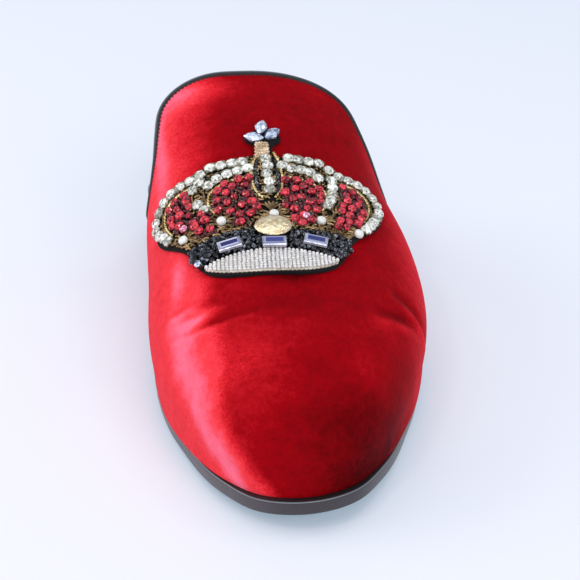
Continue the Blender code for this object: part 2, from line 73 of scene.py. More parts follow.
# topline seen from the side: back from the toe, height
tongueEdge = [(149.0, 54.4), (161.8, 64.1), (172.0, 71.6), (176.2, 77.2), (178.0, 81.2), (179.0, 84.6),
              (179.8, 96.0)]
wingEdge = [(152.0, 38.0), (166.0, 36.0), (180.0, 31.6), (193.0, 25.0), (204.0, 17.0), (213.0, 8.0)]
notch = {"back": 140.2, "height": 42.7, "radius": 3.9, "tongueDeg": 38.5, "wingDeg": -3.0}
slant = {"medial": 3.5, "lateral": -7.0, "span": 90.0}


def spline(xs, ys, x):
    xs, ys, x = np.asarray(xs, float), np.asarray(ys, float), np.asarray(x, float)
    gap = np.diff(xs)
    rise = np.diff(ys) / gap
    slope = np.r_[rise[0], (rise[:-1] * gap[1:] + rise[1:] * gap[:-1]) / (gap[1:] + gap[:-1]), rise[-1]]
    k = np.clip(np.searchsorted(xs, x) - 1, 0, len(xs) - 2)
    h, t = gap[k], (x - xs[k]) / gap[k]
    keep = (2 * t**3 - 3 * t**2 + 1) * ys[k] + (3 * t**2 - 2 * t**3) * ys[k + 1]
    return keep + h * ((t**3 - 2 * t**2 + t) * slope[k] + (t**3 - t**2) * slope[k + 1])


def ease(a, b, x):
    t = np.clip((np.asarray(x, float) - a) / (b - a), 0.0, 1.0)
    return t * t * (3 - 2 * t)


def hill(x, middle, span):
    return np.exp(-((np.asarray(x, float) - middle) / span) ** 2)


def unit3(v):
    return v / np.linalg.norm(v, axis=-1, keepdims=True)


def runOf(points):
    return np.r_[0.0, np.cumsum(np.linalg.norm(np.diff(points, axis=0), axis=1))]


def step(share, count):
    return np.rint(share * count).astype(int)


def around(share):
    return np.arccos(np.clip(1 - 2 * np.asarray(share, float), -1.0, 1.0))


def soleEdge(s, side):
    angle, at = around(outline[:, 0]), around(s / last["length"])
    return spline(angle, outline[:, 1], at) + side * np.maximum(spline(angle, outline[:, 2], at), 0.0)


def insetEdges(amount):
    # medial and lateral edge of the sole's outline moved in by amount(s), as tables over s, and their ends
    s = last["length"] * (1 - np.cos(np.linspace(0.0, math.pi, 721))) / 2
    tables = []
    for side in (-1, 1):
        x = soleEdge(s, side)
        ds, dx = np.gradient(s), np.gradient(x)
        size = np.hypot(ds, dx)
        sIn, xIn = s + side * dx / size * amount(s), x - side * ds / size * amount(s)
        keep = (xIn - (soleEdge(s, -1) + soleEdge(s, 1)) / 2) * side > 0
        order = np.argsort(sIn[keep])
        tables.append((sIn[keep][order], xIn[keep][order]))
    return tables, max(tables[0][0][0], tables[1][0][0]), min(tables[0][0][-1], tables[1][0][-1])


def soleBottom(s):
    run = np.clip((s - last["springStart"]) / (last["length"] - last["springStart"]), 0.0, 1.0)
    return last["heelRise"] * (1 - ease(last["archStart"], last["archEnd"], s)) + last["toeSpring"] * run**2


def soleTop(s):
    return soleBottom(s) + last["soleThick"]


def featherAt(s):
    toeShare = ease(last["toeInsetStart"], last["length"], s)
    return last["featherInset"] + (last["toeInset"] - last["featherInset"]) * toeShare


feather, _, toeEnd = insetEdges(featherAt)


def section(back, column):
    values = sections[:, sectionColumn[column]]
    return spline(np.sqrt(sections[:, 0]), values, np.sqrt(np.maximum(back, 0.0)))


def upperPoint(s, t):
    # outer face of the velvet, t from the medial feather edge over the crest to the lateral one
    s, t = np.broadcast_arrays(np.asarray(s, float), np.asarray(t, float))
    back = toeEnd - s
    foot = soleTop(s) + last["seatGap"]
    rise = np.maximum(section(back, "crestHeight") - foot, 0.0)
    crest, power = section(back, "crestAside"), 2.0 / section(back, "squareness")
    medial = np.cos(t) > 0
    edge = np.where(medial, np.interp(s, *feather[0]), np.interp(s, *feather[1]))
    reach = np.maximum(np.where(medial, crest - edge, edge - crest), 0.0)
    bulge = np.where(medial, section(back, "bulgeMedial"), section(back, "bulgeLateral"))
    c, n = np.abs(np.cos(t)), np.abs(np.sin(t))
    out = reach * c**power + bulge * np.abs(np.sin(2 * t)) * c / last["bulgePeak"]
    x = crest - np.where(medial, 1, -1) * out
    return np.stack([x, last["length"] / 2 - s, foot + rise * n**power], -1)


def upperNormal(s, t, ds=0.5, dt=0.02):
    t = np.clip(t, last["edgeAngle"], math.pi - last["edgeAngle"])
    along = upperPoint(s + ds, t) - upperPoint(s - ds, t)
    across = upperPoint(s, t + dt) - upperPoint(s, t - dt)
    return unit3(np.cross(along, across))


def topline():
    # side profile of the cut, from the end of the wing through the notch to the tongue's tip
    a, b = math.radians(notch["tongueDeg"]), math.radians(notch["wingDeg"])
    g = np.linspace(b + 1.5 * math.pi, a + 0.5 * math.pi, 17)
    arc = np.array([notch["back"], notch["height"]]) + notch["radius"] * np.stack([np.cos(g), np.sin(g)], -1)
    wing, tongue = np.vstack([arc[:1], wingEdge]), np.vstack([arc[-1:], tongueEdge])
    x = np.linspace(wing[0, 0], wing[-1, 0], 40)[:0:-1]
    low = np.stack([x, spline(wing[:, 0], wing[:, 1], x)], -1)
    run = runOf(tongue)
    u = np.linspace(0.0, run[-1], 48)[1:]
    high = np.stack([spline(run, tongue[:, 0], u), spline(run, tongue[:, 1], u)], -1)
    return np.concatenate([low, arc, high])


def slide(x):
    # the cut moves along the tongue's slope from the medial to the lateral side
    share = (np.asarray(x, float) + slant["span"]) / (2 * slant["span"])
    amount = slant["medial"] + (slant["lateral"] - slant["medial"]) * share
    a = math.radians(notch["tongueDeg"])
    return np.stack([amount * math.cos(a), amount * math.sin(a)], -1)


def nearest(at, line):
    # for each point: the closest piece of the line, its share along that piece, and the way from there
    start, span = line[:-1], np.diff(line, axis=0)
    f = np.clip(np.einsum("nmk,mk->nm", at[:, None] - start, span) / np.sum(span**2, 1), 0.0, 1.0)
    away = at[:, None] - (start + span * f[..., None])
    k = np.argmin(np.sum(away**2, -1), 1)
    own = np.arange(len(at))
    return k, f[own, k], away[own, k], span[k]


cut = topline()


def pastCut(points):
    # signed distance from the topline seen from the side, positive on the open side
    at = np.stack([points[:, 1] + last["length"] / 2, points[:, 2]], -1) - slide(points[:, 0])
    _, _, away, span = nearest(at, cut)
    return np.copysign(np.linalg.norm(away, axis=1), away[:, 0] * span[:, 1] - away[:, 1] * span[:, 0])


# mesh helpers
def toMetres(spots):
    # from millimetres on the last's tables to the frame
    return (spots - (last["centreX"], 0.0, 0.0)) * mm


def select(*pieces):
    # these alone are selected, and the first is the active one
    bpy.ops.object.select_all(action="DESELECT")
    for piece in pieces:
        piece.select_set(True)
    if pieces:
        bpy.context.view_layer.objects.active = pieces[0]


def newest(name):
    piece = bpy.context.object
    piece.name = piece.data.name = name
    return piece


def join(name, pieces):
    select(*pieces)
    bpy.ops.object.join()
    return newest(name)


def readPoints(piece):
    co = np.empty(len(piece.data.vertices) * 3)
    piece.data.vertices.foreach_get("co", co)
    return co.reshape(-1, 3)


def writePoints(piece, spots):
    piece.data.vertices.foreach_set("co", toMetres(spots).ravel())
    piece.data.update()


def paint(piece, name, values, domain="POINT"):
    piece.data.attributes.new(name, "FLOAT", domain).data.foreach_set("value", values)


def edit(piece, *steps):
    select(piece)
    bpy.ops.object.mode_set(mode="EDIT")
    bpy.ops.mesh.select_all(action="SELECT")
    for each in steps:
        each()
    bpy.ops.object.mode_set(mode="OBJECT")


def merge(gap=0.00001):
    bpy.ops.mesh.remove_doubles(threshold=gap)


def faceOut():
    bpy.ops.mesh.select_all(action="SELECT")
    bpy.ops.mesh.normals_make_consistent(inside=False)


def capEnds():
    bpy.ops.mesh.select_all(action="DESELECT")
    bpy.ops.mesh.select_mode(type="EDGE")
    bpy.ops.mesh.select_non_manifold()
    bpy.ops.mesh.edge_face_add()
    bpy.ops.mesh.select_mode(type="VERT")


def addMesh(name, spots, faces):
    mesh = bpy.data.meshes.new(name)
    mesh.from_pydata(toMetres(spots).tolist(), [], faces)
    piece = bpy.data.objects.new(name, mesh)
    bpy.context.scene.collection.objects.link(piece)
    return piece


def addGrid(name, across, along, place):
    # a flat grid whose points move to place(u, v), u across and v along, both from 0 to 1
    select()
    bpy.ops.mesh.primitive_grid_add(x_subdivisions=across, y_subdivisions=along, size=2.0)
    piece = newest(name)
    flat = readPoints(piece)
    writePoints(piece, place((flat[:, 0] + 1) / 2, (flat[:, 1] + 1) / 2))
    return piece


def addBall(name, segments, rings):
    select()
    bpy.ops.mesh.primitive_uv_sphere_add(segments=segments, ring_count=rings, radius=1.0)
    return newest(name)


def modify(piece, kind, **settings):
    select(piece)
    made = piece.modifiers.new(kind.lower(), kind)
    for key, value in settings.items():
        setattr(made, key, value)
    bpy.ops.object.modifier_apply(modifier=made.name)


def smoothBy(piece, degrees):
    select(piece)
    bpy.ops.object.shade_smooth_by_angle(angle=math.radians(degrees))


def wear(piece, slot, nodes, *finishes):
    piece.data.materials.clear()
    for finish in finishes:
        piece.data.materials.append(finish)
    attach(piece, "root")
    if nodes:
        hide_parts(*nodes)


# shader maths
def feed(tree, socket, value):
    if isinstance(value, Wire):
        tree.links.new(value.socket, socket)
    else:
        socket.default_value = value


class Wire:
    def __init__(self, tree, socket):
        self.tree, self.socket = tree, socket

    def maths(self, operation, other, swap=False):
        made = self.tree.nodes.new("ShaderNodeMath")
        made.operation = operation
        for socket, value in zip(made.inputs, (other, self) if swap else (self, other)):
            feed(self.tree, socket, value)
        return Wire(self.tree, made.outputs[0])

    def __add__(self, other):
        return self.maths("ADD", other)

    def __sub__(self, other):
        return self.maths("SUBTRACT", other)

    def __rsub__(self, other):
        return self.maths("SUBTRACT", other, True)

    def __mul__(self, other):
        return self.maths("MULTIPLY", other)

    __radd__, __rmul__ = __add__, __mul__

    def power(self, other):
        return self.maths("POWER", other)


class Finish:
    def __init__(self, name, colour, rough, sockets=None):
        self.material = bpy.data.materials.new(name)
        self.material.use_nodes = True
        self.tree = self.material.node_tree
        self.shader = self.tree.nodes["Principled BSDF"]
        for key, value in {"Base Color": (*colour, 1.0), "Roughness": rough, **(sockets or {})}.items():
            self.set(key, value)
        self.place = self.node("ShaderNodeTexCoord", out="Object")

    def set(self, socket, value):
        feed(self.tree, self.shader.inputs[socket], value)

    def node(self, kind, settings=None, inputs=None, out=0):
        made = self.tree.nodes.new(kind)
        for key, value in (settings or {}).items():
            if key == "stops":
                ramp = made.color_ramp
                while len(ramp.elements) < len(value):
                    ramp.elements.new(0.5)
                for element, (spot, colour) in zip(ramp.elements, value):
                    element.position, element.color = spot, colour
            else:
                setattr(made, key, value)
        for key, value in (inputs or {}).items():
            feed(self.tree, made.inputs[key], value)
        return Wire(self.tree, made.outputs[out])

    def noise(self, scale, detail=2.0, rough=0.5, place=None, distort=0.0):
        inputs = {"Vector": place or self.place, "Scale": scale, "Detail": detail, "Roughness": rough,
                  "Distortion": distort}
        return self.node("ShaderNodeTexNoise", {}, inputs)

    def stretch(self, scale):
        return self.node("ShaderNodeMapping", {}, {"Vector": self.place, "Scale": scale})

    def ramp(self, value, low, high):
        return self.node("ShaderNodeMapRange", {"interpolation_type": "SMOOTHSTEP"},
                         {"Value": value, "From Min": low, "From Max": high})

    def mix(self, share, a, b):
        a, b = (c if isinstance(c, Wire) else (*c, 1.0) for c in (a, b))
        return self.node("ShaderNodeMix", {"data_type": "RGBA"}, {0: share, 6: a, 7: b}, 2)

    def attribute(self, name):
        return self.node("ShaderNodeAttribute", {"attribute_name": name}, out="Fac")

    def bump(self, height, distance):
        self.set("Normal", self.node("ShaderNodeBump", {}, {"Height": height, "Distance": distance}))


# velvet: a deep red silky pile whose tone follows the painted sheen and shade of the nap
velvetLook = {
    "colour": (0.31, 0.0016, 0.006),
    "sockets": {"Sheen Weight": 0.16, "Sheen Roughness": 0.35, "Sheen Tint": (1.0, 0.07, 0.12, 1.0),
                "Specular IOR Level": 0.02},
    "stops": [(0.0, (0.06, 0.0002, 0.0010, 1)), (0.30, (0.31, 0.0008, 0.004, 1)),
              (0.55, (0.66, 0.012, 0.022, 1)), (0.78, (0.91, 0.045, 0.062, 1)),
              (1.0, (0.97, 0.150, 0.235, 1))],
    # scale, detail, roughness, distortion and stretch of each noise
    "noises": {
        "mottle": (420.0, 4.0, 0.65, 0.4, (1.0, 1.0, 1.0)),
        "streak": (700.0, 3.0, 0.6, 0.0, (1.0, 0.35, 0.8)),
        "brush": (1300.0, 4.0, 0.75, 0.0, (0.7, 1.0, 0.9)),
        "lay": (150.0, 3.0, 0.6, 0.8, (0.6, 1.0, 0.8)),
        "pile": (3000.0, 2.0, 0.6, 0.0, (1.0, 1.0, 1.0))},
    "shares": {"mottle": 0.16, "streak": 0.10, "lay": 0.20, "brush": 0.16},
    "jag": 0.5, "turnTone": 0.56, "turnSpan": 0.16, "turnEdge": (0.1, 1.6),
    "rough": 0.5, "roughStreak": 0.2, "reliefTall": 0.0006,
    "relief": {"mottle": 0.5, "streak": 0.3, "pile": 0.25}}


def velvetFinish():
    f = Finish("red_velvet", velvetLook["colour"], velvetLook["rough"], velvetLook["sockets"])
    noise = {}
    for kind, (scale, detail, rough, distort, stretch) in velvetLook["noises"].items():
        noise[kind] = f.noise(scale, detail, rough, f.stretch(stretch), distort)
    nap = f.attribute("nap")
    # where the painted sheen turns to painted shade the edge is speckled
    away = (nap - velvetLook["turnTone"]) * (1 / velvetLook["turnSpan"])
    turning = 1 - f.ramp(away.power(2.0), *velvetLook["turnEdge"])
    tone = nap + velvetLook["jag"] * turning * (noise["brush"] - 0.5)
    for kind, share in velvetLook["shares"].items():
        tone = tone + share * (noise[kind] - 0.5)
    f.set("Base Color", f.node("ShaderNodeValToRGB", {"stops": velvetLook["stops"]}, {"Fac": tone}))
    f.set("Roughness", velvetLook["rough"] + velvetLook["roughStreak"] * noise["streak"])
    coarse, middle, fine = (share * noise[kind] for kind, share in velvetLook["relief"].items())
    f.bump(coarse + middle + fine, velvetLook["reliefTall"])
    return f.material


# leathers: a fine pebble, clouded in tone and gloss, with a painted rim highlight and painted flank
# reflection
leatherLook = {
    "coatRough": 0.25, "cloud": (60.0, 4.0, 0.6), "cloudSpan": (0.35, 0.7), "paler": 1.6, "palerBy": 0.004,
    "glossLow": 0.06, "glossSpread": 0.16, "pebbleSpan": (0.0, 0.12), "pebbleTall": 0.8, "cloudTall": 0.3,
    "rimShine": 0.3, "rimShare": (0.55, 0.6), "flankShare": (0.7, 0.5)}


def leatherFinish(name, colour, rough, grain=900.0, depth=0.00012, coat=0.15, rim=None, flank=None):
    look = leatherLook
    f = Finish(name, colour, rough, {"Coat Weight": coat, "Coat Roughness": look["coatRough"]})
    pebble = f.node("ShaderNodeTexVoronoi", {"feature": "DISTANCE_TO_EDGE"},
                    {"Vector": f.place, "Scale": grain})
    cloud = f.noise(*look["cloud"])
    paler = tuple(look["paler"] * c + look["palerBy"] for c in colour)
    shade = f.mix(f.ramp(cloud, *look["cloudSpan"]), colour, paler)
    if rim:
        f.set("Specular IOR Level", look["rimShine"])
    for word, there in (("flank", flank), ("rim", rim)):
        if there:
            low, spread = look[word + "Share"]
            shade = f.mix(f.attribute(word) * (low + spread * cloud), shade, there)
    f.set("Base Color", shade)
    f.set("Roughness", rough - look["glossLow"] + look["glossSpread"] * cloud)
    f.bump(f.ramp(pebble, *look["pebbleSpan"]) * look["pebbleTall"] + cloud * look["cloudTall"], depth)
    return f.material


velvet = velvetFinish()
lining = leatherFinish("black_lining", (0.012, 0.012, 0.013), 0.5)
# the binding's rim colour is a painted highlight along its crest
bindingLeather = leatherFinish("binding_leather", (0.003, 0.003, 0.004), 0.32, 1400.0, 0.00006, 0.1,
                               rim=(0.20, 0.21, 0.235))
sockLeather = leatherFinish("sock_leather", (0.016, 0.016, 0.017), 0.48, 800.0)


# velvet upper, cut at the topline, with its creases as soft troughs and ridges
upperMade = {
    "across": 150, "along": 170, "wingBack": 224.0, "nosePower": 1.9, "noseShare": 0.00012, "noseGap": 0.6,
    "noseTip": 0.005, "creaseShading": 0.2, "creaseFade": 0.12, "roll": 0.9, "rollTall": 4.0,
    "rollFrom": (200, 235), "cutSkin": 0.05, "knifeLead": 8.0, "knifeBack": 300.0,
    "knifeLow": -20.0, "knifeHigh": 130.0, "smoothDeg": 42}
# creases: points (back from the toe, arc from the crest, + lateral), depth, width, ridge on one side
creases = [
    ([(58, -40), (54.5, -32), (52.5, -23), (52, -8)], 0.55, 1.3, 0.35),
    ([(62.5, -37), (59, -30), (57.5, -23)], 0.3, 1.2, 0.15),
    ([(69, -44), (66.5, -36), (65, -28)], 0.45, 1.3, 0.2),
    ([(66.5, 44), (66, 52), (66, 60), (67, 68)], 1.1, 2.2, 0.7),
    ([(54, 34), (57, 44), (59.5, 53)], 0.9, 2.0, 0.7),
    ([(56, -18), (54, 0), (56, 26)], 0.35, 6.0, 0.1),
    ([(74, -40), (90, -38)], 0.5, 3.5, 0.3),
]
creaseForm = {"endShare": 0.35, "ridgeOut": 1.7}

# where the painted sheen down the inner side ends: back from the toe, arc
sheenEdge = np.array([
    (4, -15), (8, -20), (14, -25), (20, -25.5), (28, -23.5), (36, -21), (44, -20.5), (50, -21.5), (54, -26),
    (58, -22), (62, -25), (66, -22.5), (75, -24), (100, -30)], float)
# soft patches of painted sheen and shade: share of tone, then middle and span back from the toe and along the
# arc
# the darker vamp patch, back 66 under the crown's low edge, is the crown's painted shadow
vampPatches = [(0.11, 28, 6, 23, 9), (0.07, 47, 8, 38, 7), (0.08, 21, 5, 0, 16), (-0.21, 66, 3.5, 5, 10)]
innerPatches = [(0.20, 80, 11, -36, 5), (0.22, 57.5, 2.0, -29, 5)]
tonguePatches = [(0.26, 168, 8, -14, 16)]
tipPatches = [(0.28, 172, 7, -22, 13), (0.09, 172, 10, 30, 14), (0.1, 150, 20, -36, 4)]
# painted sheen and shade of the nap: amounts, and pairs where an ease starts and ends or a hill has its
# middle and span
napLightSettings = {
    "tone": 0.275, "lean": 0.0002, "waves": ((2.0, 0.31, 0.0), (1.3, 0.83, 1.0)),
    "toeDeep": 0.28, "toeBack": (8, 38), "toeArc": (-30, 42),
    "sideDeep": 0.07, "sideArc": (32, 44), "sideStart": (12, 22), "sideEnd": (38, 52),
    "bright": 0.72, "brightPast": (-5.0, 4.0), "brightWave": 0.3,
    "glow": 0.05, "glowPeak": 0.15, "glowBack": (33, 9), "glowStart": (-2, 4), "glowEnd": (0, 32),
    "highlight": 0.27, "highlightArc": (-37, 6.2), "highlightWave": 0.4, "highlightEnd": (58, 72),
    "toeGlint": 0.35, "toeGlintBack": (1.2, 3.6), "toeGlintArc": (-4, 10),
    "tongueBack": (100, 122), "tongueTone": 0.22, "tongueBright": 0.54, "tongueArc": (-40, -4),
    "tongueWave": 0.5, "tongueHighlight": 0.12, "tongueHighlightArc": (-37, 5.0),
    "hidden": 0.24, "hiddenWaves": ((0.08, 0.09, 0.07), (0.05, 0.21, -0.13)),
    "hiddenArc": (50, 76), "hiddenBack": (60, 100),
    "outer": 0.08, "outerArc": (40, 58), "outerBack": (66, 82),
    "edge": 0.20, "edgeArc": (42, 66), "edgeBack": (24, 52)}


def patches(back, arc, table):
    return sum(share * hill(back, midBack, spanBack) * hill(arc, midArc, spanArc)
               for share, midBack, spanBack, midArc, spanArc in table)


def paintedNapLight(back, arc):
    # painted sheen down the inner side, painted shade deep towards the outer toe, lighter painted sheen at
    # the outer edge
    lay = napLightSettings
    wave = sum(tall * np.sin(rate * back + start) for tall, rate, start in lay["waves"])
    tone = lay["tone"] - lay["lean"] * arc
    tone -= lay["toeDeep"] * (1 - ease(*lay["toeBack"], back)) * ease(*lay["toeArc"], arc)
    beside = ease(*lay["sideStart"], back) * (1 - ease(*lay["sideEnd"], back))
    tone += patches(back, arc, vampPatches) - lay["sideDeep"] * ease(*lay["sideArc"], arc) * beside
    reach = spline(sheenEdge[:, 0], sheenEdge[:, 1], np.clip(back, sheenEdge[0, 0], sheenEdge[-1, 0]))
    past = arc - reach + lay["brightWave"] * wave
    glow = lay["glow"] + lay["glowPeak"] * hill(back, *lay["glowBack"])
    tone += glow * (1 - ease(*lay["glowEnd"], past)) * ease(*lay["glowStart"], past)
    tone += (lay["bright"] - tone) * (1 - ease(*lay["brightPast"], past))
    # a painted highlight streak down the inner side
    highlight = hill(arc + lay["highlightWave"] * wave, *lay["highlightArc"])
    tone += lay["highlight"] * highlight * (1 - ease(*lay["highlightEnd"], back)) + patches(back, arc, innerPatches)
    # painted glints in spots over the toe's edge
    toeGlint = 0.5 + 0.5 * np.sin(0.85 * arc) * np.sin(0.31 * arc + 1.0)
    tone += lay["toeGlint"] * toeGlint * (1 - ease(*lay["toeGlintBack"], back)) * (1 - ease(*lay["toeGlintArc"], arc))
    # the tongue: painted sheen over its inner side, with a painted highlight streak
    tongue = ease(*lay["tongueBack"], back)
    lit = 1 - ease(*lay["tongueArc"], arc + lay["tongueWave"] * wave)
    tone += tongue * (lay["tongueTone"] + lay["tongueBright"] * lit - tone)
    highlight = lay["tongueHighlight"] * hill(arc, *lay["tongueHighlightArc"])
    tone += tongue * (patches(back, arc, tonguePatches) + highlight) + patches(back, arc, tipPatches)
    # painted shade, darker in waves, low on the inner side
    turned = sum(tall * np.sin(rate * back + sway * arc) for tall, rate, sway in lay["hiddenWaves"])
    tone -= (lay["hidden"] + turned) * ease(*lay["hiddenArc"], -arc) * ease(*lay["hiddenBack"], back)
    tone += lay["outer"] * ease(*lay["outerArc"], arc) * ease(*lay["outerBack"], back)
    return tone + lay["edge"] * ease(*lay["edgeArc"], arc) * ease(*lay["edgeBack"], back)


def creaseLift(back, arc):
    lift = np.zeros_like(back)
    for points, depth, width, ridge in creases:
        points = np.array(points, float)
        k, share, away, span = nearest(np.stack([back, arc], -1), points)
        d = np.linalg.norm(away, axis=1)
        side = np.sign(span[:, 0] * away[:, 1] - span[:, 1] * away[:, 0])
        middle = np.sin(math.pi * (k + share) / (len(points) - 1))
        strength = creaseForm["endShare"] + (1 - creaseForm["endShare"]) * middle
        shoulder = hill(d * side, creaseForm["ridgeOut"] * width, width)
        lift += strength * (ridge * shoulder - depth * hill(d, 0.0, width))
    return lift


def toplineKnife():
    # a slab with the side profile of the opening, as wide as the slant's span
    back, low, high = (upperMade[key] for key in ("knifeBack", "knifeLow", "knifeHigh"))
    corner = [(cut[-1][0], high), (back, high), (back, low), (cut[0][0] + upperMade["knifeLead"], low)]
    shape = np.concatenate([cut, np.array(corner)])
    rings = []
    for x in (-slant["span"], slant["span"]):
        moved = shape + slide(x)
        rings.append(np.stack([np.full(len(moved), x), moved[:, 0] - last["length"] / 2, moved[:, 1]], -1))
    count = len(shape)
    faces = [tuple(range(count)), tuple(range(count, 2 * count))]
    faces += [(j, (j + 1) % count, count + (j + 1) % count, count + j) for j in range(count)]
    knife = addMesh("topline_knife", np.concatenate(rings), faces)
    edit(knife, faceOut)
    return knife


def makeUpper():
    lay = []

    def place(u, v):
        share = upperMade["noseShare"] + (1 - upperMade["noseShare"]) * (1 - v) ** upperMade["nosePower"]
        s = toeEnd - (upperMade["wingBack"] - last["length"] + toeEnd) * share
        t = math.pi * u
        spots = upperPoint(s, t)
        columns = upperMade["across"] + 1
        steps = np.linalg.norm(np.diff(spots.reshape(-1, columns, 3), axis=1), axis=2)
        arc = np.concatenate([np.zeros((len(steps), 1)), np.cumsum(steps, axis=1)], 1)
        arc = (arc - arc[:, columns // 2][:, None]).ravel()
        s = np.minimum(s, toeEnd - upperMade["noseGap"])
        back = last["length"] - s
        lift = ease(0.0, upperMade["creaseFade"], np.minimum(u, 1 - u)) * creaseLift(back, arc)
        out = upperNormal(s, t)
        # round the toe the velvet rolls a little over the sole
        tall = np.maximum(spots[:, 2] - soleTop(s), 0.0)
        roll = upperMade["roll"] * hill(tall, 0.0, upperMade["rollTall"]) * ease(*upperMade["rollFrom"], s)
        spots = spots + out * lift[:, None] + unit3(out * (1, 1, 0) + (0, -0.001, 0)) * roll[:, None]
        # the rows close at the nose
        spots[v > 0.9999] = upperPoint(toeEnd - upperMade["noseTip"], 0.0) - (0, upperMade["roll"], 0)
        # the creases are painted darker in their troughs and lighter on their ridges: painted shade and
        # highlight
        lay.extend((spots, paintedNapLight(back, arc) + upperMade["creaseShading"] * lift))
        return spots

    piece = addGrid("velvet_upper", upperMade["across"], upperMade["along"], place)
    edit(piece, lambda: merge(0.00003))
    top = max(piece.data.polygons, key=lambda p: p.center.z)
    if top.normal.z < 0:
        edit(piece, bpy.ops.mesh.flip_normals)
    piece.data.materials.append(velvet)
    piece.data.materials.append(lining)
    modify(piece, "SOLIDIFY", thickness=last["wall"] * mm, offset=-1.0, use_rim=True, material_offset=1,
           material_offset_rim=1)
    knife = toplineKnife()
    modify(piece, "BOOLEAN", operation="DIFFERENCE", solver="EXACT", object=knife)
    bpy.data.objects.remove(knife)
    middles = np.array([p.center for p in piece.data.polygons]) / mm + (last["centreX"], 0.0, 0.0)
    numbers = np.array([p.material_index for p in piece.data.polygons])
    numbers[np.abs(pastCut(middles)) < upperMade["cutSkin"]] = 1        # the cut edge is dark like the lining
    piece.data.polygons.foreach_set("material_index", numbers.tolist())
    smoothBy(piece, upperMade["smoothDeg"])
    tree = KDTree(len(lay[0]))
    for k, spot in enumerate(toMetres(lay[0])):
        tree.insert(spot, k)
    tree.balance()
    paint(piece, "nap", [lay[1][tree.find(v.co)[1]] for v in piece.data.vertices])
    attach(piece, "root")
    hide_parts("upper")
    print("velvet upper:", len(piece.data.polygons), "faces")


makeUpper()


# rolled leather binding along the topline, with its stitches
binding = {
    "steps": 420, "joinZ": 55.0, "seekX": 44.0, "seekTurns": 10, "angles": 200, "aboveSole": 1.0,
    "tongueRows": 160, "tongueBack": (138.0, 200.0), "halvings": 30, "smoothings": 2, "crestAt": 1.4,
    "crestHalf": 0.5, "smoothDeg": 50, "stitchPitch": 1.75, "stitchLong": 1.2, "stitchWide": 0.62,
    "stitchOut": 1.0, "stitchIn": -0.7, "stitchLean": 0.25, "stitchEnd": 2.0}
# across the binding: out from the middle of the wall, beyond the cut
bindingProfile = np.array([
    (1.02, -0.3), (1.32, -0.24), (1.52, 0.1), (1.66, 0.65), (1.62, 1.3), (1.36, 1.95), (0.82, 2.5),
    (0.0, 2.75), (-0.85, 2.55), (-1.42, 1.95), (-1.70, 1.2), (-1.72, 0.5), (-1.55, -0.2), (-1.38, -0.75),
    (-1.02, -0.9)])


def wallMiddle(s, t):
    return upperPoint(s, t) - upperNormal(s, t) * last["wall"] / 2


def wingStations(side):
    # station and angle where each low point of the cut meets the wall on one side
    rows = []
    angles = np.linspace(0.0, math.pi / 2, binding["angles"])
    angles = angles if side < 0 else math.pi - angles
    for back, z in cut[cut[:, 1] < binding["joinZ"]]:
        x = side * binding["seekX"]
        for _ in range(binding["seekTurns"]):
            at = np.array([back, z]) + slide(x)
            s = last["length"] - at[0]
            line = wallMiddle(np.full(len(angles), s), angles)
            t = float(np.interp(at[1], line[:, 2], angles))
            x = float(np.interp(at[1], line[:, 2], line[:, 0]))
        if at[1] > float(soleTop(s)) + binding["aboveSole"]:
            rows.append((s, t))
    return rows


def tongueStations(first, final):
    # stations over the tongue between two angles, found by halving
    t = np.linspace(first, final, binding["tongueRows"])[1:-1]
    near, far = (np.full(len(t), last["length"] - back) for back in binding["tongueBack"])
    for _ in range(binding["halvings"]):
        mid = (near + far) / 2
        inside = pastCut(wallMiddle(mid, t)) < 0
        near, far = np.where(inside, mid, near), np.where(inside, far, mid)
    return list(zip(mid, t))


def toplineRun():
    # even points along the cut edge in the middle of the wall, each with its axes
    medial, lateral = wingStations(-1), wingStations(1)
    rows = np.array(medial + tongueStations(medial[-1][1], lateral[-1][1]) + lateral[::-1])
    run = runOf(wallMiddle(rows[:, 0], rows[:, 1]))
    even = np.linspace(0.0, run[-1], binding["steps"])
    s, t = np.interp(even, run, rows[:, 0]), np.interp(even, run, rows[:, 1])
    at = wallMiddle(s, t)
    for _ in range(binding["smoothings"]):
        at[1:-1] = (at[:-2] + 2 * at[1:-1] + at[2:]) / 4
    along = unit3(np.gradient(at, axis=0))
    beyond = unit3(np.cross(along, upperNormal(s, t)))
    out = unit3(np.cross(beyond, along))
    sign = np.sign(np.median(pastCut(at + beyond) - pastCut(at)))
    return at, along, out, sign * beyond


edgeAt, edgeAlong, edgeOut, edgeBeyond = toplineRun()


def makeBinding():
    ring = np.concatenate([bindingProfile, bindingProfile[:1]])
    count = len(ring) - 1
    crest = []

    def place(u, v):
        i, j = step(u, count), step(v, binding["steps"] - 1)
        # painted highlight along the crest of the binding's outer side
        crest.extend(hill(ring[i, 1], binding["crestAt"], binding["crestHalf"]) * (ring[i, 0] > 0))
        return edgeAt[j] + ring[i, :1] * edgeOut[j] + ring[i, 1:] * edgeBeyond[j]

    piece = addGrid("topline_roll", count, binding["steps"] - 1, place)
    paint(piece, "rim", crest)
    edit(piece, merge, capEnds, faceOut)
    smoothBy(piece, binding["smoothDeg"])
    wear(piece, "binding_leather", ["topline_binding"], bindingLeather)
    print("topline binding:", len(piece.data.polygons), "faces")


makeBinding()


# plates with a rounded edge: outsole and sock
plateForm = {"flats": 13, "corners": 6, "tip": 0.004, "probe": 0.003, "smoothDeg": 50}


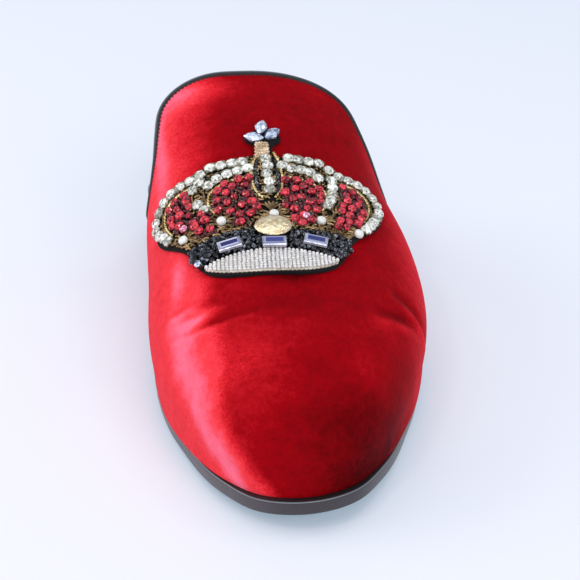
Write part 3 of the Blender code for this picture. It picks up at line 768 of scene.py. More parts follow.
def addPlate(name, inset, base, thick, edgeRound, along, crown=0.0):
    edges, low, high = insetEdges(lambda s: inset(s) + edgeRound)
    flat = np.linspace(-1.0, 1.0, plateForm["flats"])
    corner = np.linspace(0.0, math.pi / 2, plateForm["corners"])
    # across the plate: share of the width, face, corner's reach outward and upward
    ring = [(f, -1, 0.0, -1.0) for f in flat[:-1]]
    ring += [(1, -1, math.sin(a), -math.cos(a)) for a in corner]
    ring += [(1, 1, math.cos(a), math.sin(a)) for a in corner]
    ring += [(f, 1, 0.0, 1.0) for f in flat[::-1][1:-1]]
    ring += [(-1, 1, math.sin(a), math.cos(a)) for a in corner]
    ring += [(-1, -1, math.cos(a), -math.sin(a)) for a in corner]
    ring = np.array(ring + ring[:1])
    count = len(ring) - 1

    def slices(v):
        s = low + plateForm["tip"] + (high - low - 2 * plateForm["tip"]) * (1 - np.cos(math.pi * v)) / 2
        return s, np.interp(s, *edges[0]), np.interp(s, *edges[1])

    def place(u, v):
        f, up, reach, lift = ring[step(u, count)].T
        s, med, lat = slices(v)
        ahead = slices(np.minimum(v + plateForm["probe"], 1.0))
        behind = slices(np.maximum(v - plateForm["probe"], 0.0))
        run = ahead[0] - behind[0]
        drift = np.where(f > 0, ahead[2] - behind[2], ahead[1] - behind[1])
        far = np.sign(f) / np.hypot(run, drift)
        # the slices close to a point at both ends
        tip = np.where(v > 0.9999, 1.0, np.where(v < 0.0001, -1.0, 0.0))
        x = (med + lat) / 2 + np.where(tip == 0, f * (lat - med) / 2 + reach * edgeRound * run * far, 0.0)
        s = s + reach * edgeRound * np.where(tip == 0, -drift * far, tip)
        z = base(s) + thick / 2 + up * (thick / 2 - edgeRound) + lift * edgeRound
        return np.stack([x, last["length"] / 2 - s, z + crown * np.where(up > 0, 1 - f**4, 0.0)], -1)

    piece = addGrid(name, count, along, place)
    edit(piece, merge, faceOut)
    smoothBy(piece, plateForm["smoothDeg"])
    return piece


# outsole: black dressed edge, semi-gloss, with a painted highlight along its upper corner and a painted floor
# reflection
sole = {"edgeRound": 0.75, "along": 170, "trim": 1.5, "trimStart": (180, 212), "trimEnd": (246, 276),
        "rimTilt": 0.66, "rimSpan": 0.16, "flankTilt": 0.45, "flankMiddle": 0.45, "flankAside": (10, 36)}
soleFinish = leatherFinish("sole_leather", (0.006, 0.0055, 0.006), 0.30, 700.0, 0.00005, 0.1,
                           rim=(0.26, 0.27, 0.30), flank=(0.095, 0.077, 0.086))


def soleTrim(s):
    return sole["trim"] * ease(*sole["trimStart"], s) * (1 - ease(*sole["trimEnd"], s))


plate = addPlate("leather_sole", soleTrim, soleBottom, last["soleThick"], sole["edgeRound"], sole["along"])
# painted reflection of the floor on the upright edge, paler out to the sides, and a painted highlight on the
# upper corner
tilt = np.array([v.normal.z for v in plate.data.vertices])
aside = ease(*sole["flankAside"], np.abs([v.co.x for v in plate.data.vertices]) / mm)
flank = sole["flankMiddle"] + (1 - sole["flankMiddle"]) * aside
paint(plate, "flank", hill(tilt, 0.0, sole["flankTilt"]) * flank)
paint(plate, "rim", hill(tilt, sole["rimTilt"], sole["rimSpan"]))
wear(plate, "sole_leather", ["outsole"], soleFinish)

sock = {"openInset": 2.8, "openEnd": (10.0, 74.0), "clear": 0.4, "thick": 3.0, "edgeRound": 0.8, "crown": 0.5,
        "along": 150}


def sockInset(s):
    covered = featherAt(s) + last["wall"] + sock["clear"]
    return sock["openInset"] + ease(*sock["openEnd"], s) * (covered - sock["openInset"])


def sockBase(s):
    return soleTop(s) + last["seatGap"]


plate = addPlate("sock", sockInset, sockBase, sock["thick"] - sock["crown"], sock["edgeRound"], sock["along"],
                 sock["crown"])
wear(plate, "sock_leather", ["insole"], sockLeather)
print("sole and sock done")


# heel: stacked lifts over a rubber top piece
heel = {"breast": 66.0, "hollow": 5.0, "points": 140, "sideRows": 60, "breastRows": 30, "tip": 0.05,
        "topPiece": 4.0, "topInset": 2.0, "lifts": 3, "liftInset": 1.5, "bevel": 0.28, "bevelDeg": 50,
        "smoothDeg": 40}


def heelRing(inset):
    tables, low, _ = insetEdges(lambda s: np.full_like(s, inset))
    low, front = low + heel["tip"], heel["breast"] - inset
    s = low + (front - low) * (1 - np.cos(np.linspace(0.0, math.pi / 2, heel["sideRows"])))
    lateral = np.stack([np.interp(s[::-1], *tables[1]), s[::-1]], -1)
    medial = np.stack([np.interp(s, *tables[0]), s], -1)
    f = np.linspace(0.0, 1.0, heel["breastRows"])[1:-1]
    hollow = np.stack([0 * f, heel["hollow"] * np.sin(math.pi * f)], -1)
    breast = medial[-1] + (lateral[0] - medial[-1]) * f[:, None] - hollow
    loop = np.concatenate([lateral, medial, breast, lateral[:1]])
    run = runOf(loop)
    even = np.linspace(0.0, run[-1], heel["points"] + 1)[:-1]
    y = last["length"] / 2 - np.interp(even, run, loop[:, 1])
    return np.stack([np.interp(even, run, loop[:, 0]), y], -1)


def addLift(name, z, tall, inset):
    def rise():
        bpy.ops.mesh.extrude_region_move(TRANSFORM_OT_translate={"value": (0, 0, tall * mm)})

    select()
    bpy.ops.mesh.primitive_circle_add(vertices=heel["points"], radius=1.0, fill_type="NGON")
    piece = newest(name)
    ring = heelRing(inset)
    writePoints(piece, np.column_stack([ring, np.full(len(ring), z)]))
    edit(piece, rise, faceOut)
    modify(piece, "BEVEL", width=heel["bevel"] * mm, segments=2, limit_method="ANGLE",
           angle_limit=math.radians(heel["bevelDeg"]))
    smoothBy(piece, heel["smoothDeg"])
    return piece


rubberFinish = leatherFinish("heel_rubber", (0.014, 0.014, 0.014), 0.6, 1600.0, 0.0001, 0.0)
heelFinish = leatherFinish("heel_leather", (0.020, 0.018, 0.018), 0.34, 700.0, 0.00006, 0.5)
topPiece = addLift("top_piece", 0.0, heel["topPiece"], heel["topInset"])
wear(topPiece, "heel_rubber", ["heel_top_lift"], rubberFinish)
stackFoot = heel["topPiece"] + last["seatGap"]
tall = (last["heelRise"] - last["seatGap"] - stackFoot) / heel["lifts"]
lifts = [addLift(f"heel_lift_{k}", stackFoot + k * tall, tall, heel["liftInset"])
         for k in range(heel["lifts"])]
wear(join("stacked_heel", lifts), "heel_leather", ["heel_stack"], heelFinish)
print("heel done")


# crown ornament, in its own plane laid on the vamp: w across (+ outer side), h towards the tongue
crown = {"back": 69.3, "aside": -0.3, "turnDeg": 4.5, "skew": 1.5, "skewSpan": 42.0, "feltLow": 0.3,
         "feltTop": 1.4, "beadLift": 2.3, "chainLift": 2.8, "stoneLift": 4.1, "probe": 0.4}
# the plane's grid over the vamp: its extent in w and h, and where it is looked for on the last
lattice = {"step": 0.5, "wide": 58.0, "low": -14.0, "high": 88.0, "ahead": 24.0, "behind": 94.0, "rows": 119,
           "edgeAngle": 0.1, "angles": 241}
# outline of the felt: height, half width; its low edge reaches down over part of the shade under the crown,
# so partly painted shade
felt = np.array([
    (-2.4, 9.0), (-1.6, 13.5), (0.1, 18.0), (2.4, 21.5), (5.5, 23.9), (10.0, 26.4), (15.0, 28.2),
    (19.0, 30.6), (24.0, 35.2), (29.0, 39.6), (35.0, 43.0), (41.0, 44.2), (46.5, 42.9), (50.5, 38.5),
    (54.0, 30.0), (57.0, 21.0), (58.8, 9.5), (60.2, 4.0), (63.5, 3.2), (66.4, 3.8), (69.2, 6.6), (71.6, 6.4),
    (74.2, 3.0), (78.4, 1.2)])


def feltHalf(h):
    return spline(felt[:, 0], felt[:, 1], h)


def crownLattice():
    wide, gap = lattice["wide"], lattice["step"]
    aside, ahead = np.arange(-wide, wide + gap, gap), np.arange(lattice["low"], lattice["high"] + gap, gap)
    back = np.linspace(crown["back"] - lattice["ahead"], crown["back"] + lattice["behind"], lattice["rows"])
    run = runOf(upperPoint(last["length"] - back, math.pi / 2))
    s = last["length"] - np.interp(ahead, run - np.interp(crown["back"], back, run), back)
    angles = np.linspace(lattice["edgeAngle"], math.pi - lattice["edgeAngle"], lattice["angles"])
    t = []
    for station in s:
        arc = runOf(upperPoint(station, angles))
        t.append(np.interp(aside, arc - np.interp(math.pi / 2, angles, arc), angles))
    t, s = np.array(t), np.repeat(s[:, None], len(aside), 1)
    return upperPoint(s, t), upperNormal(s, t)


latticeAt, latticeOut = crownLattice()


def onCrown(w, h, lift):
    w, h, lift = np.broadcast_arrays(np.asarray(w, float), np.asarray(h, float), np.asarray(lift, float))
    c, n = math.cos(math.radians(crown["turnDeg"])), math.sin(math.radians(crown["turnDeg"]))
    aside = crown["aside"] + w * c + h * n - crown["skew"] * (w / crown["skewSpan"]) ** 2
    i = (h * c - w * n - lattice["low"]) / lattice["step"]
    j = (aside + lattice["wide"]) / lattice["step"]
    i0 = np.clip(np.floor(i).astype(int), 0, latticeAt.shape[0] - 2)
    j0 = np.clip(np.floor(j).astype(int), 0, latticeAt.shape[1] - 2)
    fi, fj = (i - i0)[..., None], (j - j0)[..., None]

    def blend(grid):
        low = grid[i0, j0] * (1 - fj) + grid[i0, j0 + 1] * fj
        return low * (1 - fi) + (grid[i0 + 1, j0] * (1 - fj) + grid[i0 + 1, j0 + 1] * fj) * fi

    out = unit3(blend(latticeOut))
    return blend(latticeAt) + lift[..., None] * out, out


def crownFrame(spots, lift, turn=0.0):
    # places and axes for copies at (w, h) spots, turn in degrees within the crown's plane
    w, h = np.array(spots, float).T
    turn = np.broadcast_to(np.radians(turn), w.shape)
    at, out = onCrown(w, h, lift)
    side = unit3(onCrown(w + crown["probe"], h, lift)[0] - onCrown(w - crown["probe"], h, lift)[0])
    up = np.cross(out, side)
    c, n = np.cos(turn)[:, None], np.sin(turn)[:, None]
    return at, np.stack([side * c + up * n, up * c - side * n, out], 1)


def scattered(spots, lift, spread, turnTo):
    # copies at uneven heights, each turned its own way
    return crownFrame(spots, lift + rng.uniform(*spread, len(spots)), rng.uniform(0, turnTo, len(spots)))


def asShape(piece):
    # faces sorted by their middles, because the order that the operators leave differs from run to run
    verts, faces = readPoints(piece), [tuple(p.vertices) for p in piece.data.polygons]
    bpy.data.objects.remove(piece)
    middles = np.round([verts[list(face)].mean(0) for face in faces], 5)
    return verts, [faces[k] for k in np.lexsort(middles.T)]


def turned(sides, rings, tris=False, start=0.0):
    # a shape drawn up ring by ring: radius, height, twist in degrees
    select()
    bpy.ops.mesh.primitive_circle_add(vertices=sides, radius=rings[0][0], fill_type="NGON",
                                      location=(0, 0, rings[0][1]), rotation=(0, 0, math.radians(start)))
    piece = bpy.context.object
    bpy.ops.object.transform_apply()

    def rise():
        for (r0, z0, t0), (r1, z1, t1) in zip(rings[:-1], rings[1:]):
            bpy.ops.mesh.extrude_region_move(TRANSFORM_OT_translate={"value": (0, 0, z1 - z0)})
            bpy.ops.transform.resize(value=(r1 / r0, r1 / r0, 1), center_override=(0, 0, z1))
            bpy.ops.transform.rotate(value=math.radians(t1 - t0), orient_axis="Z", center_override=(0, 0, 0))

    edit(piece, rise, faceOut)
    if tris:
        modify(piece, "TRIANGULATE", min_vertices=4, ngon_method="BEAUTY")
    return asShape(piece)


# a face's tone is part its stone's and part its own
toneShares = {"stone": 0.3, "face": 0.7}


def addPile(name, slot, nodes, finishes, *batches, smooth=0):
    # one mesh of many copies: shape, (places, axes), sizes, finish number
    spots, faces, tones, numbers, start = [], [], [], [], 0
    for (verts, polys), (at, axes), size, number in batches:
        size = np.broadcast_to(np.asarray(size, float), (len(at), 3))
        spots.append((at[:, None] + np.einsum("vk,nk,nkx->nvx", verts, size, axes)).reshape(-1, 3))
        own = rng.random(len(at))
        for n in range(len(at)):
            faces += [tuple(start + n * len(verts) + i for i in poly) for poly in polys]
            tones.append(toneShares["stone"] * own[n] + toneShares["face"] * rng.random(len(polys)))
        numbers += [number] * (len(at) * len(polys))
        start += len(at) * len(verts)
    piece = addMesh(name, np.concatenate(spots), faces)
    paint(piece, "tone", np.concatenate(tones), "FACE")
    wear(piece, slot, nodes, *finishes)
    piece.data.polygons.foreach_set("material_index", numbers)
    if smooth:
        smoothBy(piece, smooth)


# finishes of the crown
gemLook = {"dull": 0.06, "dullScale": 900.0}
metalLook = {"metallic": 0.9, "cloud": (220.0, 3.0), "cloudShare": 0.6, "fineShare": 0.4,
             "span": (0.36, 0.66), "glossLow": 0.05, "glossSpread": 0.14, "cloudTall": 0.5}
feltLook = {"colour": (0.006, 0.006, 0.007), "rough": 0.95, "dark": (0.003, 0.003, 0.004),
            "light": (0.014, 0.013, 0.014), "hair": (1800.0, 3.0, 0.7), "tuft": 300.0, "tall": 0.0003,
            "sockets": {"Sheen Weight": 0.05, "Sheen Roughness": 0.5, "Specular IOR Level": 0.1}}


# faces take a colour between dark and light by their tone: painted glints and dark reflections on the cut
# stones, a random tone on seed beads and cabochons
def gemFinish(name, dark, light, rough, metal, spread=(0.2, 0.8), shine=0.5):
    f = Finish(name, light, rough, {"Metallic": metal, "Specular IOR Level": shine})
    f.set("Base Color", f.mix(f.ramp(f.attribute("tone"), *spread), dark, light))
    f.set("Roughness", rough + gemLook["dull"] * f.noise(gemLook["dullScale"]))
    return f.material


def metalFinish(name, dark, light, rough, grain, depth):
    look = metalLook
    f = Finish(name, light, rough, {"Metallic": look["metallic"]})
    cloud, fine = f.noise(*look["cloud"]), f.noise(grain)
    tone = cloud * look["cloudShare"] + fine * look["fineShare"]
    f.set("Base Color", f.mix(f.ramp(tone, *look["span"]), dark, light))
    f.set("Roughness", rough - look["glossLow"] + look["glossSpread"] * cloud)
    f.bump(fine + cloud * look["cloudTall"], depth)
    return f.material


def feltFinish():
    f = Finish("black_felt", feltLook["colour"], feltLook["rough"], feltLook["sockets"])
    hair = f.noise(*feltLook["hair"])
    f.set("Base Color", f.mix(hair, feltLook["dark"], feltLook["light"]))
    f.bump(hair + f.noise(feltLook["tuft"]), feltLook["tall"])
    return f.material


feltBlack = feltFinish()
crystal = gemFinish("crystal", (0.19, 0.185, 0.14), (0.99, 0.97, 0.90), 0.05, 0.1, (0.12, 0.88))
silver = metalFinish("silver_setting", (0.08, 0.075, 0.04), (0.36, 0.33, 0.22), 0.3, 1500.0, 0.00004)
frameSilver = metalFinish("lilac_silver", (0.36, 0.36, 0.44), (0.74, 0.73, 0.82), 0.25, 1500.0, 0.00004)
ruby = gemFinish("red_stone", (0.09, 0.004, 0.008), (0.96, 0.055, 0.085), 0.06, 0.1, (0.2, 0.85))
glintStone = gemFinish("painted_glint_stone", (0.45, 0.05, 0.14), (1.0, 0.72, 0.85), 0.05, 0.1)
# jet beads: the few light faces are painted glints
jet = gemFinish("jet_bead", (0.003, 0.003, 0.005), (0.32, 0.33, 0.39), 0.04, 0.0, (0.62, 1.0), 0.4)
garnet = gemFinish("dark_bead", (0.012, 0.007, 0.008), (0.13, 0.022, 0.030), 0.05, 0.0, shine=0.4)
seedSilver = gemFinish("seed_bead", (0.58, 0.55, 0.54), (0.84, 0.81, 0.80), 0.14, 0.1)
gilt = metalFinish("gold_cord", (0.42, 0.28, 0.08), (0.95, 0.76, 0.42), 0.26, 1300.0, 0.00005)
brownGilt = metalFinish("brown_bullion", (0.09, 0.05, 0.022), (0.54, 0.37, 0.18), 0.32, 1600.0, 0.00008)
palePlate = metalFinish("pale_gold_plate", (0.66, 0.49, 0.26), (1.0, 0.85, 0.60), 0.25, 1100.0, 0.00022)
pinkGilt = metalFinish("pink_gold", (0.34, 0.22, 0.12), (0.80, 0.63, 0.46), 0.28, 900.0, 0.00016)
tanGround = metalFinish("tan_ground", (0.40, 0.35, 0.28), (0.70, 0.64, 0.54), 0.5, 1200.0, 0.00008)
milk = gemFinish("white_cabochon", (0.72, 0.69, 0.66), (0.82, 0.80, 0.77), 0.12, 0.0)
lilac = gemFinish("lilac_stone", (0.25, 0.26, 0.42), (0.66, 0.66, 0.80), 0.05, 0.2)
deepBlue = gemFinish("blue_line", (0.02, 0.025, 0.13), (0.05, 0.06, 0.24), 0.05, 0.2)
paleBlue = gemFinish("blue_petal", (0.07, 0.10, 0.21), (0.70, 0.77, 0.91), 0.05, 0.3, (0.15, 0.8))

# shapes that are copied, about one unit in radius
bead = asShape(addBall("bead", 8, 6))
cutBead = turned(7, [(0.5, -0.8, 0), (1.0, -0.25, 25), (1.0, 0.3, 50), (0.5, 0.85, 75)], True)
brilliant = turned(8, [(0.92, -0.16, 0), (1.0, 0.04, 0), (0.84, 0.34, 22.5), (0.46, 0.56, 45)], True)
claw = turned(4, [(0.86, -0.72, 0), (1.28, -0.10, 0), (1.30, 0.06, 0)], start=45)
longCut = turned(4, [(1.30, -0.30, 0), (1.36, 0.12, 0), (1.18, 0.34, 0)], start=45)
longFrame = turned(4, [(1.36, -0.75, 0), (1.60, -0.40, 0), (1.60, 0.04, 0), (1.46, 0.16, 0)], start=45)
dome = turned(14, [(1.0, -0.4, 0), (1.0, 0.0, 0), (0.90, 0.22, 0), (0.66, 0.38, 0), (0.30, 0.46, 0)])

feltMade = {"rows": 120, "under": 15, "over": 41, "overShare": 0.99, "edge": (1.012, 0.75), "smoothDeg": 50}


def makeFelt():
    count = feltMade["rows"]
    heights = np.interp(np.linspace(0, 1, count), np.linspace(0, 1, len(felt)), felt[:, 0])
    run = runOf(np.stack([heights, feltHalf(heights)], -1))
    heights = np.interp(np.linspace(0, run[-1], count), run, heights)
    # across the pad: share of the width, lift
    reach, lift = feltMade["edge"]
    over = np.linspace(feltMade["overShare"], -feltMade["overShare"], feltMade["over"])
    ring = [(f, crown["feltLow"]) for f in np.linspace(-1, 1, feltMade["under"])] + [(reach, lift)]
    ring += [(f, crown["feltTop"]) for f in over] + [(-reach, lift)]
    ring = np.array(ring + ring[:1])

    def place(u, v):
        i, h = step(u, len(ring) - 1), heights[step(v, count - 1)]
        return onCrown(ring[i, 0] * feltHalf(h), h, ring[i, 1])[0]

    piece = addGrid("felt_pad", len(ring) - 1, count - 1, place)
    edit(piece, merge, capEnds, faceOut)
    smoothBy(piece, feltMade["smoothDeg"])
    wear(piece, "crown_felt", ["crown_backing"], feltBlack)


makeFelt()

# crystal chains: across, height of each stone
chain = {"radius": 2.2, "jitter": 9.0, "archRise": 2.2, "archEnd": (20, 30), "archFrom": (49, 53.5),
         "medialIn": 0.8, "medialInFrom": (30, 37)}
outerChain = np.array([
    (8.4, 55.4), (12.1, 55.0), (15.8, 54.7), (19.6, 54.6), (23.2, 52.6), (26.9, 51.4), (30.7, 51.0),
    (34.3, 50.4), (37.5, 48.8), (40.0, 46.1), (41.6, 42.6), (41.8, 38.7), (40.4, 34.9), (38.6, 31.4),
    (36.8, 28.1), (34.8, 25.1)])
innerMedial = np.array([(-6.7, 51.9), (-10.3, 50.6), (-13.9, 49.6), (-17.5, 48.1), (-20.6, 45.8)])
innerLateral = np.array([(5.9, 53.4), (9.2, 51.9), (12.6, 51.6), (15.9, 50.8), (18.7, 48.2)])
sideMedial = np.array([(-23.8, 49.0), (-26.0, 46.3), (-24.5, 37.9), (-22.2, 34.0)])
sideLateral = np.array([(23.7, 48.4), (23.8, 44.6), (23.3, 40.8), (22.4, 37.2), (20.9, 33.9)])
postChain = np.array([(0.0, 57.0), (0.6, 52.9), (-0.1, 48.7), (0.6, 44.5), (0.4, 40.2)])


def risen(path):
    # the outer side's arch stands a little higher than the inner side's
    w, h = np.array(path, float).T
    rise = chain["archRise"] * (1 - ease(*chain["archEnd"], w)) * ease(*chain["archFrom"], h)
    return np.stack([w, h + rise], -1)


def addChain(name, nodes, spots):
    lean = np.degrees(np.arctan2(*np.gradient(spots, axis=0).T[::-1]))
    frames = crownFrame(spots, crown["chainLift"], lean + rng.normal(0, chain["jitter"], len(spots)))
    addPile(name, "crown_crystal", nodes, (crystal, silver), (brilliant, frames, chain["radius"], 0),
            (claw, frames, chain["radius"], 1))


outerMedial = outerChain[:-1] * (-1, 1)
outerMedial[:, 0] += chain["medialIn"] * (1 - ease(*chain["medialInFrom"], outerMedial[:, 1]))
runs = {"medial": (outerMedial, innerMedial, sideMedial),
        "lateral": (risen(outerChain), innerLateral, sideLateral)}
for word, (outer, inner, upright) in runs.items():
    addChain(f"rim_chain_{word}", [f"crown_rim_{word}"], outer)
    addChain(f"inner_chain_{word}", [], inner)
    addChain(f"side_chain_{word}", [], upright)
addChain("post_chain", ["crown_post"], postChain)
print("crystal chains done")


# band of seed beads in strands, and the jet band above it
band = {"half": 22.5, "head": 9.0, "headFall": 3.6, "headPower": 1.6, "foot": -1.4, "footRise": 6.0,
        "footPower": 3, "strands": 33, "pitch": 1.15, "sideIn": 0.5, "footIn": 0.5, "headIn": 0.3,
        "sway": 0.08, "slip": 0.06, "bead": (0.70, 0.60, 0.75), "beadSmooth": 60,
        "groundLift": 1.95, "groundThick": 0.4, "groundGrid": (60, 12)}


def bandFoot(w):
    return band["foot"] + band["footRise"] * np.abs(w / band["half"]) ** band["footPower"]


def bandHead(w):
    return band["head"] - band["headFall"] * np.abs(w / band["half"]) ** band["headPower"]


def strandSpots():
    spots = []
    reach = band["half"] - band["sideIn"]
    for w in np.linspace(-reach, reach, band["strands"]):
        low, high = float(bandFoot(w)) + band["footIn"], float(bandHead(w)) - band["headIn"]
        for h in np.linspace(low, high, max(2, int(round((high - low) / band["pitch"])) + 1)):
            spots.append((w + rng.normal(0, band["sway"]), h + rng.normal(0, band["slip"])))
    return spots


def makeGround():
    # tan cloth under the strands
    def place(u, v):
        w = band["half"] * (2 * u - 1)
        return onCrown(w, bandFoot(w) + (bandHead(w) - bandFoot(w)) * v, band["groundLift"])[0]

    piece = addGrid("band_ground", *band["groundGrid"], place)
    modify(piece, "SOLIDIFY", thickness=band["groundThick"] * mm, offset=0.0)
    edit(piece, faceOut)
    wear(piece, "crown_gold", [], tanGround)


addPile("seed_beads", "crown_silver", ["crown_bead_band"], (seedSilver,),
        (bead, crownFrame(strandSpots(), crown["beadLift"]), band["bead"], 0), smooth=band["beadSmooth"])
makeGround()


def fill(inside, box, gap, tries, taken=(), own=0.0):
    # spots thrown at random and kept where they are clear of one another and of what is taken (w, h, radius)
    kept = []
    taken = np.array(taken, float).reshape(-1, 3)
    for w, h in rng.uniform((box[0], box[1]), (box[2], box[3]), (tries, 2)):
        if not inside(w, h):
            continue
        if len(taken) and np.any(np.hypot(taken[:, 0] - w, taken[:, 1] - h) < taken[:, 2] + own):
            continue
        if kept and np.min(np.hypot(*(np.array(kept) - (w, h)).T)) < gap:
            continue
        kept.append((w, h))
    return np.array(kept)


def within(polygon):
    x, y = np.array(polygon, float).T
    nextX, nextY = np.roll(x, -1), np.roll(y, -1)
    rise = np.where(nextY == y, 1.0, nextY - y)

    def test(w, h):
        crosses = (y > h) != (nextY > h)
        return bool(np.sum(crosses & (w < x + (h - y) / rise * (nextX - x))) % 2)

    return test


def rounds(spots, radius):
    return [(w, h, radius) for w, h in spots]


jets = {"half": 27.6, "head": 20.0, "sag": 3.4, "overBand": 0.9, "underHead": 0.6, "cornerAt": 22.6,
        "cornerLow": 5.2, "cornerRise": 6.0, "cornerRun": 5.4, "box": (-27.4, 4.0, 27.4, 20.0), "gap": 1.4,
        "tries": 12000, "liftSpread": (-0.1, 0.9), "sizes": (0.85, 1.2), "form": (1.1, 0.95, 1.0)}


def jetHead(w):
    return jets["head"] - jets["sag"] * (w / jets["half"]) ** 2


def inJets(w, h):
    if abs(w) < jets["cornerAt"]:
        low = bandHead(w) + jets["overBand"]
    else:
        low = jets["cornerLow"] + jets["cornerRise"] * (abs(w) - jets["cornerAt"]) / jets["cornerRun"]
    return low < h < jetHead(w) - jets["underHead"]


spots = fill(inJets, jets["box"], jets["gap"], jets["tries"])
frames = scattered(spots, crown["beadLift"], jets["liftSpread"], 180)
sizes = rng.uniform(*jets["sizes"], (len(spots), 1)) * jets["form"]
addPile("jet_beads", "crown_jet", ["crown_jet_band"], (jet,), (cutBead, frames, sizes, 0))
print("bead bands done")

# long stones in silver frames, each with a blue line: across, height, turn
longStone = {"half": (3.65, 1.95), "rise": 2.0, "lift": 0.8, "line": (0.95, 0.58, 1.0), "lineLift": 0.88,
             "lineDown": 0.1, "medial": (-13.7, 10.7, 8.0), "middle": (0.6, 10.0, 0.0),
             "lateral": (14.6, 11.2, -10.0)}
for word in ("medial", "middle", "lateral"):
    w, h, turn = longStone[word]
    body = crownFrame([(w, h)], crown["stoneLift"] + longStone["lift"], turn)
    line = crownFrame([(w, h - longStone["lineDown"])], crown["stoneLift"] + longStone["lineLift"], turn)
    size = np.array([*longStone["half"], longStone["rise"]])
    addPile(f"long_stone_{word}", "crown_crystal", [f"crown_stone_{word}"], (lilac, frameSilver, deepBlue),
            (longCut, body, size, 0), (longFrame, body, size, 1),
            (longCut, line, size * longStone["line"], 2))

# hammered oval plaque
plaque = {"middle": (0.6, 18.2), "half": (6.3, 5.3), "lift": 0.8, "rise": 1.3, "under": -0.5, "dentFrom": 0.1,
          "dent": 0.10, "dentRates": (1.9, 2.2), "dentStarts": (0.7, 1.1), "ripple": 0.05,
          "rippleRates": (3.1, 1.7), "clear": 6, "segments": (48, 24), "smoothDeg": 60}


def makePlaque():
    piece = addBall("gold_plaque", *plaque["segments"])
    unit = readPoints(piece)
    across, up = plaque["half"][0] * unit[:, 0], plaque["half"][1] * unit[:, 1]
    (rateW, rateH), (startW, startH) = plaque["dentRates"], plaque["dentStarts"]
    dents = plaque["dent"] * np.sin(rateW * across + startW) * np.sin(rateH * up + startH)
    dents += plaque["ripple"] * np.sin(plaque["rippleRates"][0] * across - plaque["rippleRates"][1] * up)
    lift = crown["stoneLift"] + plaque["lift"] + plaque["rise"] * np.clip(unit[:, 2], plaque["under"], 1.0)
    lift += np.where(unit[:, 2] > plaque["dentFrom"], dents, 0.0)
    writePoints(piece, onCrown(plaque["middle"][0] + across, plaque["middle"][1] + up, lift)[0])
    smoothBy(piece, plaque["smoothDeg"])
    wear(piece, "crown_gold", ["crown_plaque"], palePlate)


makePlaque()

# couched cords and coils: two plies that turn along the run and close at the ends
tube = {"step": 0.22, "leastSteps": 6, "endShare": 0.4, "smoothDeg": 70}


def addTube(name, paths, radius, sides, lobes, pitch=1.5, lift=2.2):
    # along (w, h) paths on the crown, each ply shows as a lobe
    pieces = []
    for path in paths:
        path = np.array(path, float)
        run = runOf(path)
        steps = max(tube["leastSteps"], int(run[-1] / tube["step"]))
        even = np.linspace(0, run[-1], steps + 1)
        middle, out = onCrown(spline(run, path[:, 0], even), spline(run, path[:, 1], even), lift)
        side = np.cross(unit3(np.gradient(middle, axis=0)), out)

        def place(u, v):
            j = step(v, steps)
            turn = 2 * math.pi * u
            girth = radius * (1 + lobes * np.cos(2 * (turn - 2 * math.pi * even[j] / (2 * pitch))))
            girth = (girth * np.where((j == 0) | (j == steps), tube["endShare"], 1.0))[:, None]
            return middle[j] + girth * (np.cos(turn)[:, None] * side[j] + np.sin(turn)[:, None] * out[j])

        piece = addGrid(name, sides, steps, place)
        edit(piece, merge, capEnds, faceOut)
        pieces.append(piece)
    whole = join(name, pieces)
    smoothBy(whole, tube["smoothDeg"])
    return whole


def mirrored(paths):
    return [np.array(path) * (-1, 1) for path in paths] + [risen(path) for path in paths]


cord = {"radius": 0.55, "edgeRadius": 0.45, "sides": 10, "lobes": 0.22, "edgeHalf": 22.4, "edgePoints": 15,
        "edgeDown": 0.2, "edgeLift": 1.8}
cordPaths = mirrored([
    [(2.2, 36.2), (4.4, 40.0), (5.4, 45.0), (5.3, 50.5), (4.3, 55.5), (3.2, 59.0)],
    [(6.0, 48.0), (9.6, 47.2), (13.4, 46.2), (17.0, 44.6), (20.2, 42.0), (21.0, 38.0), (20.2, 33.6),
     (18.6, 30.6)],
    [(27.4, 48.2), (31.4, 47.8), (35.2, 46.2), (37.6, 42.6), (37.8, 38.0), (36.4, 33.6), (34.6, 29.6)]])
cordPaths.append([(-3.6, 57.6), (-5.0, 54.6), (-5.9, 50.0), (-5.8, 46.0)])
wear(addTube("gold_cords", cordPaths, cord["radius"], cord["sides"], cord["lobes"]), "crown_gold", [], gilt)
lowEdge = np.linspace(-cord["edgeHalf"], cord["edgeHalf"], cord["edgePoints"])
edgePath = np.stack([lowEdge, bandFoot(lowEdge) - cord["edgeDown"]], -1)
edgeCord = addTube("band_edge_cord", [edgePath], cord["edgeRadius"], cord["sides"], cord["lobes"],
                   lift=cord["edgeLift"])
wear(edgeCord, "crown_gold", [], tanGround)

# neck: rows of coil, every other one a little wider
neck = {"rows": 9, "pitch": 0.95, "foot": 58.2, "arch": 0.3, "left": -3.9, "middle": -1.1, "right": 1.7,
        "wider": 0.3, "drift": 0.06, "radius": 0.62, "sides": 8, "lobes": 0.15, "ply": 1.1, "lift": 2.4}
neckPaths = []
for k in range(neck["rows"]):
    h, wider = neck["foot"] + neck["pitch"] * k, neck["wider"] * (k % 2)
    neckPaths.append([(neck["left"] - wider + neck["drift"] * k, h), (neck["middle"], h + neck["arch"]),
                      (neck["right"] + wider, h)])
coils = addTube("neck_coils", neckPaths, neck["radius"], neck["sides"], neck["lobes"], neck["ply"],
                neck["lift"])
wear(coils, "crown_gold", ["crown_neck"], pinkGilt)

